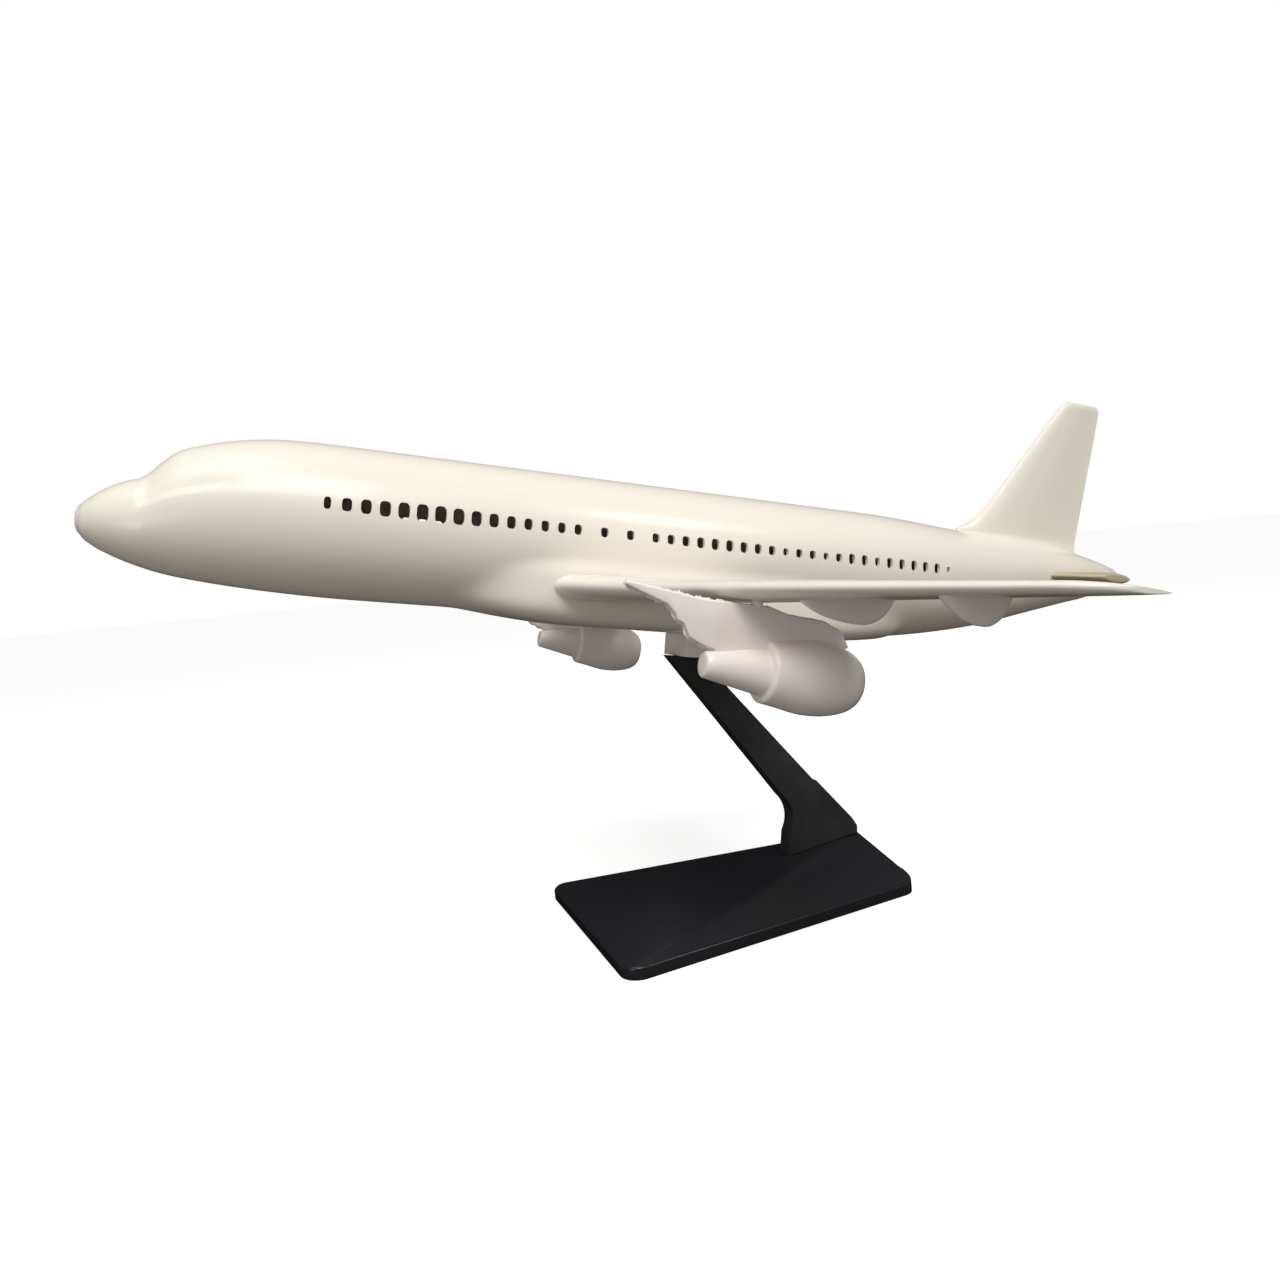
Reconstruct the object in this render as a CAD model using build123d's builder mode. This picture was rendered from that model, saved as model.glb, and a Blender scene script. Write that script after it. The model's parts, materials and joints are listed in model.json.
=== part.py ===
"""Desk model airliner on a leaning display stand, as separate snap-together mouldings.

The airframe is drawn in its own frame: x runs aft from the nose tip, z is up and the
centre plane is y = 0. It is then pitched nose-up and set on top of the stand arm.
The stand is drawn where it stands: the base centre is the origin and its underside is z = 0.
"""

from build123d import *
from math import cos, exp, radians, sin
import os

# ---------------------------------------------------------------- airframe attitude
PITCH_DEG = 10.2
NOSE_X = -108.0
NOSE_Z = 90.7

# ---------------------------------------------------------------- fuselage
TUBE_RADIUS = 13.4
WALL = 1.2
TUBE_START = 44.0
TUBE_END = 146.0
TUBE_STATIONS = (56.0, 76.0, 95.0, 114.0, 134.0)
# station x, underside z, crown z, half width
NOSE_STATIONS = [
    (0.2, -4.7, -2.1, 1.3),
    (1.0, -6.2, -0.8, 3.0),
    (2.5, -7.5, 0.6, 4.6),
    (5.0, -8.8, 2.4, 6.3),
    (9.4, -10.3, 4.3, 8.3),
    (11.6, -11.0, 6.3, 9.1),
    (14.0, -11.5, 8.6, 9.8),
    (18.5, -12.1, 10.7, 10.9),
    (25.0, -12.7, 12.4, 12.0),
    (34.0, -13.2, 13.3, 13.0),
    (TUBE_START, -TUBE_RADIUS, TUBE_RADIUS, TUBE_RADIUS),
]
TAIL_STATIONS = [
    (TUBE_END, -TUBE_RADIUS, TUBE_RADIUS, TUBE_RADIUS),
    (156.0, -12.7, 13.1, 13.1),
    (168.0, -11.0, 12.4, 12.2),
    (180.0, -8.6, 11.8, 10.7),
    (192.0, -5.3, 11.3, 8.8),
    (204.0, -2.0, 10.7, 6.6),
    (212.0, 0.2, 9.5, 4.9),
    (218.0, 2.7, 8.2, 3.2),
    (221.3, 4.3, 7.0, 1.6),
]
NOSE_CAVITY_FROM = 4.0
TAIL_CAVITY_TO = 213.0

# belly fairing: station x, width, height
FAIRING_MID_Z = -9.0
FAIRING_CORNER = 4.0
FAIRING_WIDTH = 27.6
FAIRING_HEIGHT = 12.4
FAIRING_STATIONS = [
    (58.0, 18.0, 8.2),
    (66.0, 25.2, 11.0),
    (74.0, FAIRING_WIDTH, FAIRING_HEIGHT),
    (100.0, FAIRING_WIDTH, FAIRING_HEIGHT),
    (128.0, FAIRING_WIDTH, FAIRING_HEIGHT),
    (141.0, 25.2, 11.0),
    (154.0, 18.0, 8.2),
]
FAIRING_HALF_WIDTH = FAIRING_WIDTH / 2

# cabin windows, one row per side
WINDOW_Z = 2.0
WINDOW_PITCH = 3.02
FRONT_WINDOWS = 15
REAR_WINDOWS = 23
FRONT_WINDOW_X = 37.8
GAP_PITCH = 4.97
SINGLE_WINDOWS = 2
WINDOW_CORNER = 0.22
# width, height, swell, index of the widest, spread of the swell
FRONT_WINDOW = (1.25, 1.75, 0.7, 5.5, 4.2)
REAR_WINDOW = (1.2, 1.9, 0.3, 4.5, 3.0)
SINGLE_WINDOW = (1.3, 1.7)
SWELL_IN_HEIGHT = 1.5
LAST_WINDOW_SHARE = 0.6

# fin
FIN_ROOT_Z = 8.5
FIN_TIP_Z = 46.0
FIN_ROOT_CHORD = (172.8, 206.9)
FIN_TIP_CHORD = (202.2, 212.4)
FIN_ROOT_THICKNESS = 3.6
FIN_TIP_THICKNESS = 1.7
FIN_FILLET_THICKNESS = 1.6
FIN_FILLET_TOP = [(160.0, 12.2), (172.5, 13.0), (182.0, 20.6)]
FIN_FILLET_TANGENTS = [(1, 0), (0.61, 0.79)]
FIN_FILLET_REAR_X = 186.0
FIN_FILLET_FOOT_Z = 9.0

# seam pins between the two fuselage halves
BOSS_RADIUS = 2.0
BOSS_LENGTH = 4.0
BOSS_Z = 10.5
PIN_RADIUS = 1.0
PIN_LENGTH = 3.0
PIN_END_GAP = 0.2
TOP_PIN_X = (48.0, 96.0, 142.0)
LOW_PIN_X = (48.0,)

# ---------------------------------------------------------------- wings
# half a section, leading edge to trailing edge: share of the chord, share of the thickness
AIRFOIL = [(0, 0), (0.06, 0.32), (0.32, 0.5), (0.7, 0.3), (1, 0.06)]
ROOT_GAP = 0.35
WING_ROOT_Y = FAIRING_HALF_WIDTH + ROOT_GAP
# span station y, leading edge x, chord, thickness, mid-plane z
WING_SECTIONS = [
    (WING_ROOT_Y, 76.0, 34.0, 4.6, -8.2),
    (38.0, 87.1, 24.9, 3.3, -8.2),
    (96.0, 114.0, 10.0, 1.4, -6.6),
]
TAB_THICKNESS = 2.0
TAB_LENGTH = 18.0
TAB_FROM_X = 84.0
TAB_INNER_Y = 7.5
FIT = 0.08
WING_TAB_Z = -8.2

# ---------------------------------------------------------------- engines
ENGINE_Y = 48.7
ENGINE_AXIS_START = (89.9, -19.2)
ENGINE_TILT_DEG = 3.7
CONE_END_RADIUS = 1.95
CONE_BASE_RADIUS = 3.65
CONE_LENGTH = 9.75
NOZZLE_RADIUS = 4.7
INTAKE_RADIUS = 2.7
INTAKE_DEPTH = 3.0
LIP_WIDTH = 0.6
NACELLE_LENGTH = 25.8
# the cowl's outline from the nozzle step to the intake lip: distance along the axis, radius
COWL = [
    (CONE_LENGTH, NOZZLE_RADIUS), (13.2, 5.2), (17.5, 5.8), (21.5, 5.5), (24.4, 4.6),
    (NACELLE_LENGTH, INTAKE_RADIUS + LIP_WIDTH),
]
COWL_TANGENTS = [(1, 0.15), (0.2, -1)]
PYLON_THICKNESS = 1.7
PYLON_OUTLINE = [
    (77.2, -8.0), (89.0, -9.75), (100.0, -10.1), (103.0, -11.0), (109.4, -11.6),
    (112.4, -12.9), (114.0, -15.4), (108.0, -18.0), (92.0, -18.0), (91.4, -16.9),
    (89.2, -16.4), (87.2, -15.4), (86.2, -13.5), (85.2, -13.1), (84.8, -12.2),
    (83.4, -10.9), (79.4, -9.5), (77.0, -8.6),
]
PEG_X = 98.0
PEG_RADIUS = 0.9
PEG_FOOT_Z = -11.0
PEG_TOP_Z = -7.6
SOCKET_TOP_Z = -7.4

# ---------------------------------------------------------------- flap track fairings
# span station y, front x, rear x, deepest z, seat z
INNER_TRACK = (56.0, 100.4, 116.4, -11.9, -8.0)
OUTER_TRACK = (78.0, 107.2, 117.8, -11.4, -7.2)
TRACK_THICKNESS = 2.4
# the keel from front to rear: share of the length, height above the seat or above the deepest point
TRACK_KEEL_FROM_SEAT = [(0.0, -0.9), (1.0, -0.2)]
TRACK_KEEL_FROM_DEEP = [(0.45, 0.3), (0.68, 0.0), (0.9, 1.6)]
TRACK_SINK = 0.6
UNDER_WING_RISE = 2.5
UNDER_WING_REACH = 60.0

# ---------------------------------------------------------------- stabilisers
STAB_ROOT_Y = 4.2
STAB_TIP_Y = 17.5
STAB_Z = 3.6
STAB_ROOT_X = (189.5, 213.0)
STAB_TIP_X = (200.0, 209.0)
STAB_THICKNESS = 2.2
STAB_TIP_THICKNESS = 1.9
STAB_TAB_X = (197.0, 205.0)
STAB_TAB_THICKNESS = 1.2
STAB_TAB_INNER_Y = 3.0
STAB_SLOT_REACH = 9.0

# ---------------------------------------------------------------- stand socket under the belly
BELLY_Z = FAIRING_MID_Z - FAIRING_HEIGHT / 2
SOCKET_FRONT_X = 105.9
SOCKET_LENGTH = 15.0
SOCKET_WIDTH = 12.0
SOCKET_BOTTOM_Z = -19.8
NECK_INSET = 1.0
BELLY_SEAT_GAP = 0.06
NECK_TOP_Z = -11.6
NECK_SLOT_HEIGHT = 8.0
TONGUE_END_GAP = 0.3
TONGUE_X = (108.1, 111.2)
TONGUE_THICKNESS = 2.4
TONGUE_TOP_Z = -14.2
TONGUE_CLEARANCE = 0.07

# ---------------------------------------------------------------- stand arm
ARM_THICKNESS = 4.0
SHOULDER_X = (104.1, 111.3)
SHOULDER_DROP = 0.06
ARM_REAR_EDGE = [(3.2, 44.4), (21.2, 22.1), (21.7, 22.1), (24.4, 18.9), (29.8, 12.4)]
ARM_HEEL = (31.0, 10.4)
ARM_FRONT_KNEE = (13.7, 19.8)
NOTCH_MIDDLE = (15.5, 16.0)
NOTCH_END = (14.5, 11.8)
TOE_X = 13.7
HEEL_X = 30.9

# ---------------------------------------------------------------- stand base
BASE_FRONT_X = -32.0
BASE_REAR_X = 33.5
BASE_FRONT_HALF = 25.5
BASE_REAR_HALF = 18.5
RIM_HEIGHT = 2.2
APEX_X = 31.6
APEX_HEIGHT = 8.8
APEX_SIZE = 0.01
CORNER_RADIUS = 3.6
FOOT_GAP = 0.05
FOOT_X = (16.5, 27.5)
FOOT_THICKNESS = 2.4
FOOT_BOTTOM_Z = 2.0
FOOT_INTO_ARM = 1.0
SLOT_BOTTOM_Z = 1.6


def on_base(x):
    """Height of the base's front facet above the table at x, on the centre line."""
    rise = (APEX_HEIGHT - RIM_HEIGHT) / ((APEX_X - BASE_FRONT_X) * (1 - APEX_SIZE))
    return RIM_HEIGHT + rise * (x - BASE_FRONT_X)


def airframe_to_stand(x, z):
    """Where an airframe point on the centre plane lands in the stand's frame."""
    pitch = radians(PITCH_DEG)
    return (NOSE_X + cos(pitch) * x + sin(pitch) * z, NOSE_Z - sin(pitch) * x + cos(pitch) * z)


def hull_sections(stations, inset):
    """One half-oval face per station on the port side, each shrunk by the inset."""
    faces = []
    for x, low, high, half_width in stations:
        middle = (low + high) / 2
        reach = (high - low) / 2 - inset
        arc = [
            (-(half_width - inset) * sin(radians(a)), middle + reach * cos(radians(a)))
            for a in range(0, 181, 30)
        ]
        with BuildSketch(Plane.YZ.offset(x)) as section:
            with BuildLine():
                Spline(arc, tangents=[(-1, 0), (1, 0)])
                Line(arc[-1], arc[0])
            make_face()
        faces.append(section.sketch.face())
    return faces


def belly_sections(stations):
    """The port half of one rounded rectangle per station of the belly fairing."""
    faces = []
    for x, width, height in stations:
        with BuildSketch(Plane.YZ.offset(x)) as section:
            with Locations((0, FAIRING_MID_Z)):
                RectangleRounded(width, height, FAIRING_CORNER)
            with Locations((0, FAIRING_MID_Z)):
                Rectangle(width, 2 * height, align=(Align.MIN, Align.CENTER), mode=Mode.SUBTRACT)
        faces.append(section.sketch.face())
    return faces


def airfoil(plane, leading_edge, chord, thickness):
    """A symmetric rounded-nose section on the plane, running from its leading edge along +x."""
    x, y = leading_edge
    upper = [(x + chord * u, y + thickness * v) for u, v in AIRFOIL]
    lower = [(x + chord * u, y - thickness * v) for u, v in AIRFOIL]
    with BuildSketch(plane) as section:
        with BuildLine():
            Spline(upper, tangents=[(0, 1), (1, -0.2)])
            Line(upper[-1], lower[-1])
            Spline(lower, tangents=[(0, -1), (1, 0.2)])
        make_face()
    return section.sketch.face()


def window_size(index, width, height, swell, centre, spread):
    """Width and height of one window in a row that swells around its centre."""
    bump = exp(-((index - centre) / spread) ** 2)
    return (width + swell * bump, height + SWELL_IN_HEIGHT * swell * bump)


# ================================================================ fuselage halves
tube = [(x, -TUBE_RADIUS, TUBE_RADIUS, TUBE_RADIUS) for x in TUBE_STATIONS]
stations = NOSE_STATIONS + tube + TAIL_STATIONS

with BuildPart() as hull:
    loft(hull_sections(stations, 0))

with BuildPart() as belly:
    loft(belly_sections(FAIRING_STATIONS))

with BuildPart() as cavity:
    loft(hull_sections([s for s in stations if NOSE_CAVITY_FROM < s[0] < TAIL_CAVITY_TO], WALL))

fin_root = airfoil(
    Plane.XY.offset(FIN_ROOT_Z), (FIN_ROOT_CHORD[0], 0), FIN_ROOT_CHORD[1] - FIN_ROOT_CHORD[0],
    FIN_ROOT_THICKNESS,
)
fin_tip = airfoil(
    Plane.XY.offset(FIN_TIP_Z), (FIN_TIP_CHORD[0], 0), FIN_TIP_CHORD[1] - FIN_TIP_CHORD[0],
    FIN_TIP_THICKNESS,
)
with BuildPart() as fin:
    loft([fin_root, fin_tip], ruled=True)
    with BuildSketch(Plane.XZ):
        with BuildLine():
            fillet_top = Spline(FIN_FILLET_TOP, tangents=FIN_FILLET_TANGENTS)
            Polyline(
                fillet_top @ 1, (FIN_FILLET_REAR_X, FIN_FILLET_TOP[-1][1]),
                (FIN_FILLET_REAR_X, FIN_FILLET_FOOT_Z), (FIN_FILLET_TOP[0][0], FIN_FILLET_FOOT_Z),
                fillet_top @ 0,
            )
        make_face()
    extrude(amount=FIN_FILLET_THICKNESS / 2, both=True)

with BuildPart() as half_shell:
    add(hull.part)
    add(belly.part)
    add(cavity.part, mode=Mode.SUBTRACT)
    add(fin.part)
    split(bisect_by=Plane.XZ, keep=Keep.TOP)
    # cabin windows
    with BuildSketch(Plane.XZ):
        x = FRONT_WINDOW_X
        for i in range(FRONT_WINDOWS):
            with Locations((x, WINDOW_Z)):
                RectangleRounded(*window_size(i, *FRONT_WINDOW), WINDOW_CORNER)
            x += WINDOW_PITCH
        x += GAP_PITCH - WINDOW_PITCH
        for i in range(SINGLE_WINDOWS):
            with Locations((x, WINDOW_Z)):
                RectangleRounded(*SINGLE_WINDOW, WINDOW_CORNER)
            x += GAP_PITCH
        for i in range(REAR_WINDOWS):
            share = LAST_WINDOW_SHARE if i == REAR_WINDOWS - 1 else 1.0
            width, height = window_size(i, *REAR_WINDOW)
            with Locations((x, WINDOW_Z)):
                RectangleRounded(width * share, height * share, WINDOW_CORNER)
            x += WINDOW_PITCH
    extrude(amount=TUBE_RADIUS + 1, mode=Mode.SUBTRACT)
    # slots for the wing tabs, the stabiliser tabs and the stand socket's neck
    with Locations((TAB_FROM_X + TAB_LENGTH / 2, 0, WING_TAB_Z)):
        Box(TAB_LENGTH + 2 * FIT, 2 * WING_ROOT_Y, TAB_THICKNESS + 2 * FIT, mode=Mode.SUBTRACT)
    with Locations(((STAB_TAB_X[0] + STAB_TAB_X[1]) / 2, 0, STAB_Z)):
        Box(
            STAB_TAB_X[1] - STAB_TAB_X[0] + 2 * FIT, 2 * STAB_SLOT_REACH, STAB_TAB_THICKNESS + 2 * FIT,
            mode=Mode.SUBTRACT,
        )
    with Locations((SOCKET_FRONT_X + SOCKET_LENGTH / 2, 0, BELLY_Z)):
        Box(
            SOCKET_LENGTH - 2 * NECK_INSET, SOCKET_WIDTH - 2 * NECK_INSET, NECK_SLOT_HEIGHT,
            mode=Mode.SUBTRACT,
        )

pin_places = [(x, BOSS_Z) for x in TOP_PIN_X] + [(x, -BOSS_Z) for x in LOW_PIN_X]

with BuildPart() as fuselage_left:
    add(half_shell.part)
    with BuildSketch(Plane.XZ):
        with Locations(*pin_places):
            Circle(BOSS_RADIUS)
    extrude(amount=BOSS_LENGTH)
    with BuildSketch(Plane.XZ):
        with Locations(*pin_places):
            Circle(PIN_RADIUS)
    extrude(amount=-PIN_LENGTH)

with BuildPart() as fuselage_right:
    add(mirror(half_shell.part, about=Plane.XZ, mode=Mode.PRIVATE))
    with BuildSketch(Plane.XZ):
        with Locations(*pin_places):
            Circle(BOSS_RADIUS)
    extrude(amount=-BOSS_LENGTH)
    with BuildSketch(Plane.XZ):
        with Locations(*pin_places):
            Circle(PIN_RADIUS)
    extrude(amount=-PIN_LENGTH - PIN_END_GAP, mode=Mode.SUBTRACT)

# ================================================================ wing, port side
wing_faces = [airfoil(Plane.XZ.offset(y), (x, z), c, t) for y, x, c, t, z in WING_SECTIONS]
with BuildPart() as wing_left:
    loft(wing_faces, ruled=True)
    with Locations((TAB_FROM_X + TAB_LENGTH / 2, -(WING_ROOT_Y + TAB_INNER_Y) / 2 - 0.5, WING_TAB_Z)):
        Box(TAB_LENGTH, WING_ROOT_Y - TAB_INNER_Y + 1.0, TAB_THICKNESS)
    # blind hole for the engine's peg
    with Locations((PEG_X, -ENGINE_Y, SOCKET_TOP_Z - 2.0)):
        Cylinder(PEG_RADIUS + FIT, 4.0, mode=Mode.SUBTRACT)


# ================================================================ flap track fairings, port side
def track_fairing(y, front_x, rear_x, deep_z, seat_z):
    """A canoe under the trailing edge, deepest towards its blunt rear end, seated on the wing."""
    length = rear_x - front_x
    ends = [(front_x + share * length, seat_z + rise) for share, rise in TRACK_KEEL_FROM_SEAT]
    deep = [(front_x + share * length, deep_z + rise) for share, rise in TRACK_KEEL_FROM_DEEP]
    with BuildPart() as canoe:
        with BuildSketch(Plane.XZ.offset(y - TRACK_THICKNESS / 2)):
            with BuildLine():
                keel = Spline(ends[:1] + deep + ends[1:])
                Polyline(keel @ 1, (rear_x, seat_z + TRACK_SINK), (front_x, seat_z + TRACK_SINK), keel @ 0)
            make_face()
        extrude(amount=TRACK_THICKNESS)
        add(wing_left.part, mode=Mode.SUBTRACT)
        # only the piece under the wing is kept
        with Locations(((front_x + rear_x) / 2, -y, deep_z + UNDER_WING_RISE)):
            Box(
                2 * length, 4 * TRACK_THICKNESS, UNDER_WING_REACH,
                align=(Align.CENTER, Align.CENTER, Align.MAX), mode=Mode.INTERSECT,
            )
    return canoe


track_inner_left = track_fairing(*INNER_TRACK)
track_outer_left = track_fairing(*OUTER_TRACK)

# ================================================================ engine and pylon, port side
tilt = radians(ENGINE_TILT_DEG)
engine_plane = Plane(
    origin=(ENGINE_AXIS_START[0], -ENGINE_Y, ENGINE_AXIS_START[1]),
    x_dir=(cos(tilt), 0, -sin(tilt)),
    z_dir=(0, -1, 0),
)
with BuildPart() as engine_left:
    with BuildSketch(engine_plane):
        with BuildLine():
            Line((0, 0), (0, CONE_END_RADIUS))
            Line((0, CONE_END_RADIUS), (CONE_LENGTH, CONE_BASE_RADIUS))
            Line((CONE_LENGTH, CONE_BASE_RADIUS), (CONE_LENGTH, NOZZLE_RADIUS))
            cowl = Spline(COWL, tangents=COWL_TANGENTS)
            Line(cowl @ 1, (NACELLE_LENGTH - 0.2, INTAKE_RADIUS))
            Line((NACELLE_LENGTH - 0.2, INTAKE_RADIUS), (NACELLE_LENGTH - INTAKE_DEPTH, INTAKE_RADIUS))
            Line((NACELLE_LENGTH - INTAKE_DEPTH, INTAKE_RADIUS), (NACELLE_LENGTH - INTAKE_DEPTH, 0))
            Line((NACELLE_LENGTH - INTAKE_DEPTH, 0), (0, 0))
        make_face()
    revolve(axis=Axis(engine_plane.origin, engine_plane.x_dir))
    with BuildSketch(Plane.XZ.offset(ENGINE_Y - PYLON_THICKNESS / 2)):
        with BuildLine():
            Polyline(*PYLON_OUTLINE, close=True)
        make_face()
    extrude(amount=PYLON_THICKNESS)
    with Locations((PEG_X, -ENGINE_Y, (PEG_FOOT_Z + PEG_TOP_Z) / 2)):
        Cylinder(PEG_RADIUS, PEG_TOP_Z - PEG_FOOT_Z)

# ================================================================ stabiliser, port side
with BuildPart() as stabiliser_left:
    with BuildSketch(Plane.XZ.offset(STAB_ROOT_Y)):
        with Locations(((STAB_ROOT_X[0] + STAB_ROOT_X[1]) / 2, STAB_Z)):
            Ellipse((STAB_ROOT_X[1] - STAB_ROOT_X[0]) / 2, STAB_THICKNESS / 2)
    with BuildSketch(Plane.XZ.offset(STAB_TIP_Y)):
        with Locations(((STAB_TIP_X[0] + STAB_TIP_X[1]) / 2, STAB_Z)):
            Ellipse((STAB_TIP_X[1] - STAB_TIP_X[0]) / 2, STAB_TIP_THICKNESS / 2)
    loft(ruled=True)
    # the root follows the tapering tail, a hair clear of it
    loft(hull_sections(TAIL_STATIONS, -ROOT_GAP), mode=Mode.SUBTRACT)
    with Locations(((STAB_TAB_X[0] + STAB_TAB_X[1]) / 2, -STAB_TAB_INNER_Y, STAB_Z)):
        Box(
            STAB_TAB_X[1] - STAB_TAB_X[0], STAB_TIP_Y - STAB_TAB_INNER_Y - 3.0, STAB_TAB_THICKNESS,
            align=(Align.CENTER, Align.MAX, Align.CENTER),
        )

# ================================================================ stand socket
with BuildPart() as stand_socket:
    middle_x = SOCKET_FRONT_X + SOCKET_LENGTH / 2
    with Locations((middle_x, 0, SOCKET_BOTTOM_Z)):
        Box(
            SOCKET_LENGTH, SOCKET_WIDTH, BELLY_Z - BELLY_SEAT_GAP - SOCKET_BOTTOM_Z,
            align=(Align.CENTER, Align.CENTER, Align.MIN),
        )
        Box(
            SOCKET_LENGTH - 2 * NECK_INSET, SOCKET_WIDTH - 2 * NECK_INSET, NECK_TOP_Z - SOCKET_BOTTOM_Z,
            align=(Align.CENTER, Align.CENTER, Align.MIN),
        )
    with Locations(((TONGUE_X[0] + TONGUE_X[1]) / 2, 0, SOCKET_BOTTOM_Z)):
        Box(
            TONGUE_X[1] - TONGUE_X[0] + 2 * TONGUE_CLEARANCE, TONGUE_THICKNESS + 2 * TONGUE_CLEARANCE,
            TONGUE_TOP_Z - SOCKET_BOTTOM_Z + TONGUE_END_GAP, align=(Align.CENTER, Align.CENTER, Align.MIN),
            mode=Mode.SUBTRACT,
        )

# ================================================================ stand arm
shoulder_z = SOCKET_BOTTOM_Z - SHOULDER_DROP
shoulder_front = airframe_to_stand(SHOULDER_X[0], shoulder_z)
shoulder_rear = airframe_to_stand(SHOULDER_X[1], shoulder_z)
tongue_outline = [
    airframe_to_stand(TONGUE_X[0], shoulder_z - 1.0), airframe_to_stand(TONGUE_X[0], TONGUE_TOP_Z),
    airframe_to_stand(TONGUE_X[1], TONGUE_TOP_Z), airframe_to_stand(TONGUE_X[1], shoulder_z - 1.0),
]
toe = (TOE_X, on_base(TOE_X) + FOOT_GAP)
heel = (HEEL_X, on_base(HEEL_X) + FOOT_GAP)

with BuildPart() as stand_arm:
    with BuildSketch(Plane.XZ.offset(-ARM_THICKNESS / 2)):
        with BuildLine():
            Line(shoulder_front, ARM_FRONT_KNEE)
            ThreePointArc(ARM_FRONT_KNEE, NOTCH_MIDDLE, NOTCH_END)
            Polyline(NOTCH_END, toe, heel, ARM_HEEL, *reversed(ARM_REAR_EDGE), shoulder_rear, shoulder_front)
        make_face()
    extrude(amount=ARM_THICKNESS)
    with BuildSketch(Plane.XZ.offset(-TONGUE_THICKNESS / 2)):
        with BuildLine():
            Polyline(*tongue_outline, close=True)
        make_face()
    extrude(amount=TONGUE_THICKNESS)
    foot_top = on_base(FOOT_X[0]) + FOOT_INTO_ARM
    with Locations(((FOOT_X[0] + FOOT_X[1]) / 2, 0, FOOT_BOTTOM_Z)):
        Box(
            FOOT_X[1] - FOOT_X[0], FOOT_THICKNESS, foot_top - FOOT_BOTTOM_Z,
            align=(Align.CENTER, Align.CENTER, Align.MIN),
        )

# ================================================================ stand base
trapezoid = [
    (BASE_FRONT_X, -BASE_FRONT_HALF), (BASE_REAR_X, -BASE_REAR_HALF),
    (BASE_REAR_X, BASE_REAR_HALF), (BASE_FRONT_X, BASE_FRONT_HALF),
]
apex_outline = [
    (APEX_X + APEX_SIZE * (x - APEX_X), APEX_SIZE * y) for x, y in trapezoid
]


def faceted_block(rim, apex):
    """A slab over the trapezoid whose three sloping facets meet at the apex."""
    with BuildPart() as block:
        with BuildSketch():
            with BuildLine():
                Polyline(*trapezoid, close=True)
            make_face()
        extrude(amount=rim)
        for height, outline in ((rim, trapezoid), (apex, apex_outline)):
            with BuildSketch(Plane.XY.offset(height)):
                with BuildLine():
                    Polyline(*outline, close=True)
                make_face()
        loft(ruled=True)
    return block.part


with BuildPart() as stand_base:
    with BuildSketch() as footprint:
        with BuildLine():
            Polyline(*trapezoid, close=True)
        make_face()
        fillet(footprint.vertices(), CORNER_RADIUS)
    extrude(amount=APEX_HEIGHT + 1)
    add(faceted_block(RIM_HEIGHT, APEX_HEIGHT), mode=Mode.INTERSECT)
    with Locations(((FOOT_X[0] + FOOT_X[1]) / 2, 0, SLOT_BOTTOM_Z)):
        Box(
            FOOT_X[1] - FOOT_X[0] + 2 * FIT, FOOT_THICKNESS + 2 * FIT, APEX_HEIGHT,
            align=(Align.CENTER, Align.CENTER, Align.MIN), mode=Mode.SUBTRACT,
        )

# ================================================================ labels, placing and files
airframe = Location((NOSE_X, 0, NOSE_Z), (0, PITCH_DEG, 0))
port_pieces = {
    "wing_left": wing_left,
    "track_inner_left": track_inner_left,
    "track_outer_left": track_outer_left,
    "engine_left": engine_left,
    "stabiliser_left": stabiliser_left,
}
pieces = {
    "fuselage_left": airframe * fuselage_left.part,
    "fuselage_right": airframe * fuselage_right.part,
    "stand_socket": airframe * stand_socket.part,
    "stand_arm": stand_arm.part,
    "stand_base": stand_base.part,
}
for name, piece in port_pieces.items():
    pieces[name] = airframe * piece.part
    pieces[name.replace("left", "right")] = airframe * mirror(piece.part, about=Plane.XZ)

os.makedirs("parts", exist_ok=True)
for name, shape in pieces.items():
    shape.label = name
    export_step(shape, "parts/" + name + ".step")
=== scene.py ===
"""Looks for the desk model airliner: cream moulded airframe, pale pods, black leaning stand."""

import json
import logging
import math
from dataclasses import dataclass, field
from enum import Enum
from typing import Callable, Sequence

import bmesh
import bpy
import numpy as np
from mathutils import Matrix, Vector

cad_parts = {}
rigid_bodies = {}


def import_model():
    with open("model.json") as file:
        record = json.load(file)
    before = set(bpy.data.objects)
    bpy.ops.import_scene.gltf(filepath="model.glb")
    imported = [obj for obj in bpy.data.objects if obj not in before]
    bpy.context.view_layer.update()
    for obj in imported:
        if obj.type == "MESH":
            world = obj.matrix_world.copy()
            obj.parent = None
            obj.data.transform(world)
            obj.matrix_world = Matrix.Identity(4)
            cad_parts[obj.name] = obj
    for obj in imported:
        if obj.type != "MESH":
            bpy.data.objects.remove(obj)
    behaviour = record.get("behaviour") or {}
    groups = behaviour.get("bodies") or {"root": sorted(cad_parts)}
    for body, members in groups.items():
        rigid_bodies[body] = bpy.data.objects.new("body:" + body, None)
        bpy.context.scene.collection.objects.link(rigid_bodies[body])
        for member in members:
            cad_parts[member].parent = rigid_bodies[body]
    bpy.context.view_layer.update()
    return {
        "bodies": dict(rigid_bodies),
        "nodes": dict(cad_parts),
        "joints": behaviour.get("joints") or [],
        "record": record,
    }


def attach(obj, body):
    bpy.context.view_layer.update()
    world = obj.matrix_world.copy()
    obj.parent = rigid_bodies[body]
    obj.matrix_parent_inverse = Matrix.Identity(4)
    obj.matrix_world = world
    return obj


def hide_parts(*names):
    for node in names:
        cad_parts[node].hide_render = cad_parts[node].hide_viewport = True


LOG = logging.getLogger("airliner_model")
MM = 0.001
Station = tuple[float, float, float, float]
Point = tuple[float, float, float]


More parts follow.
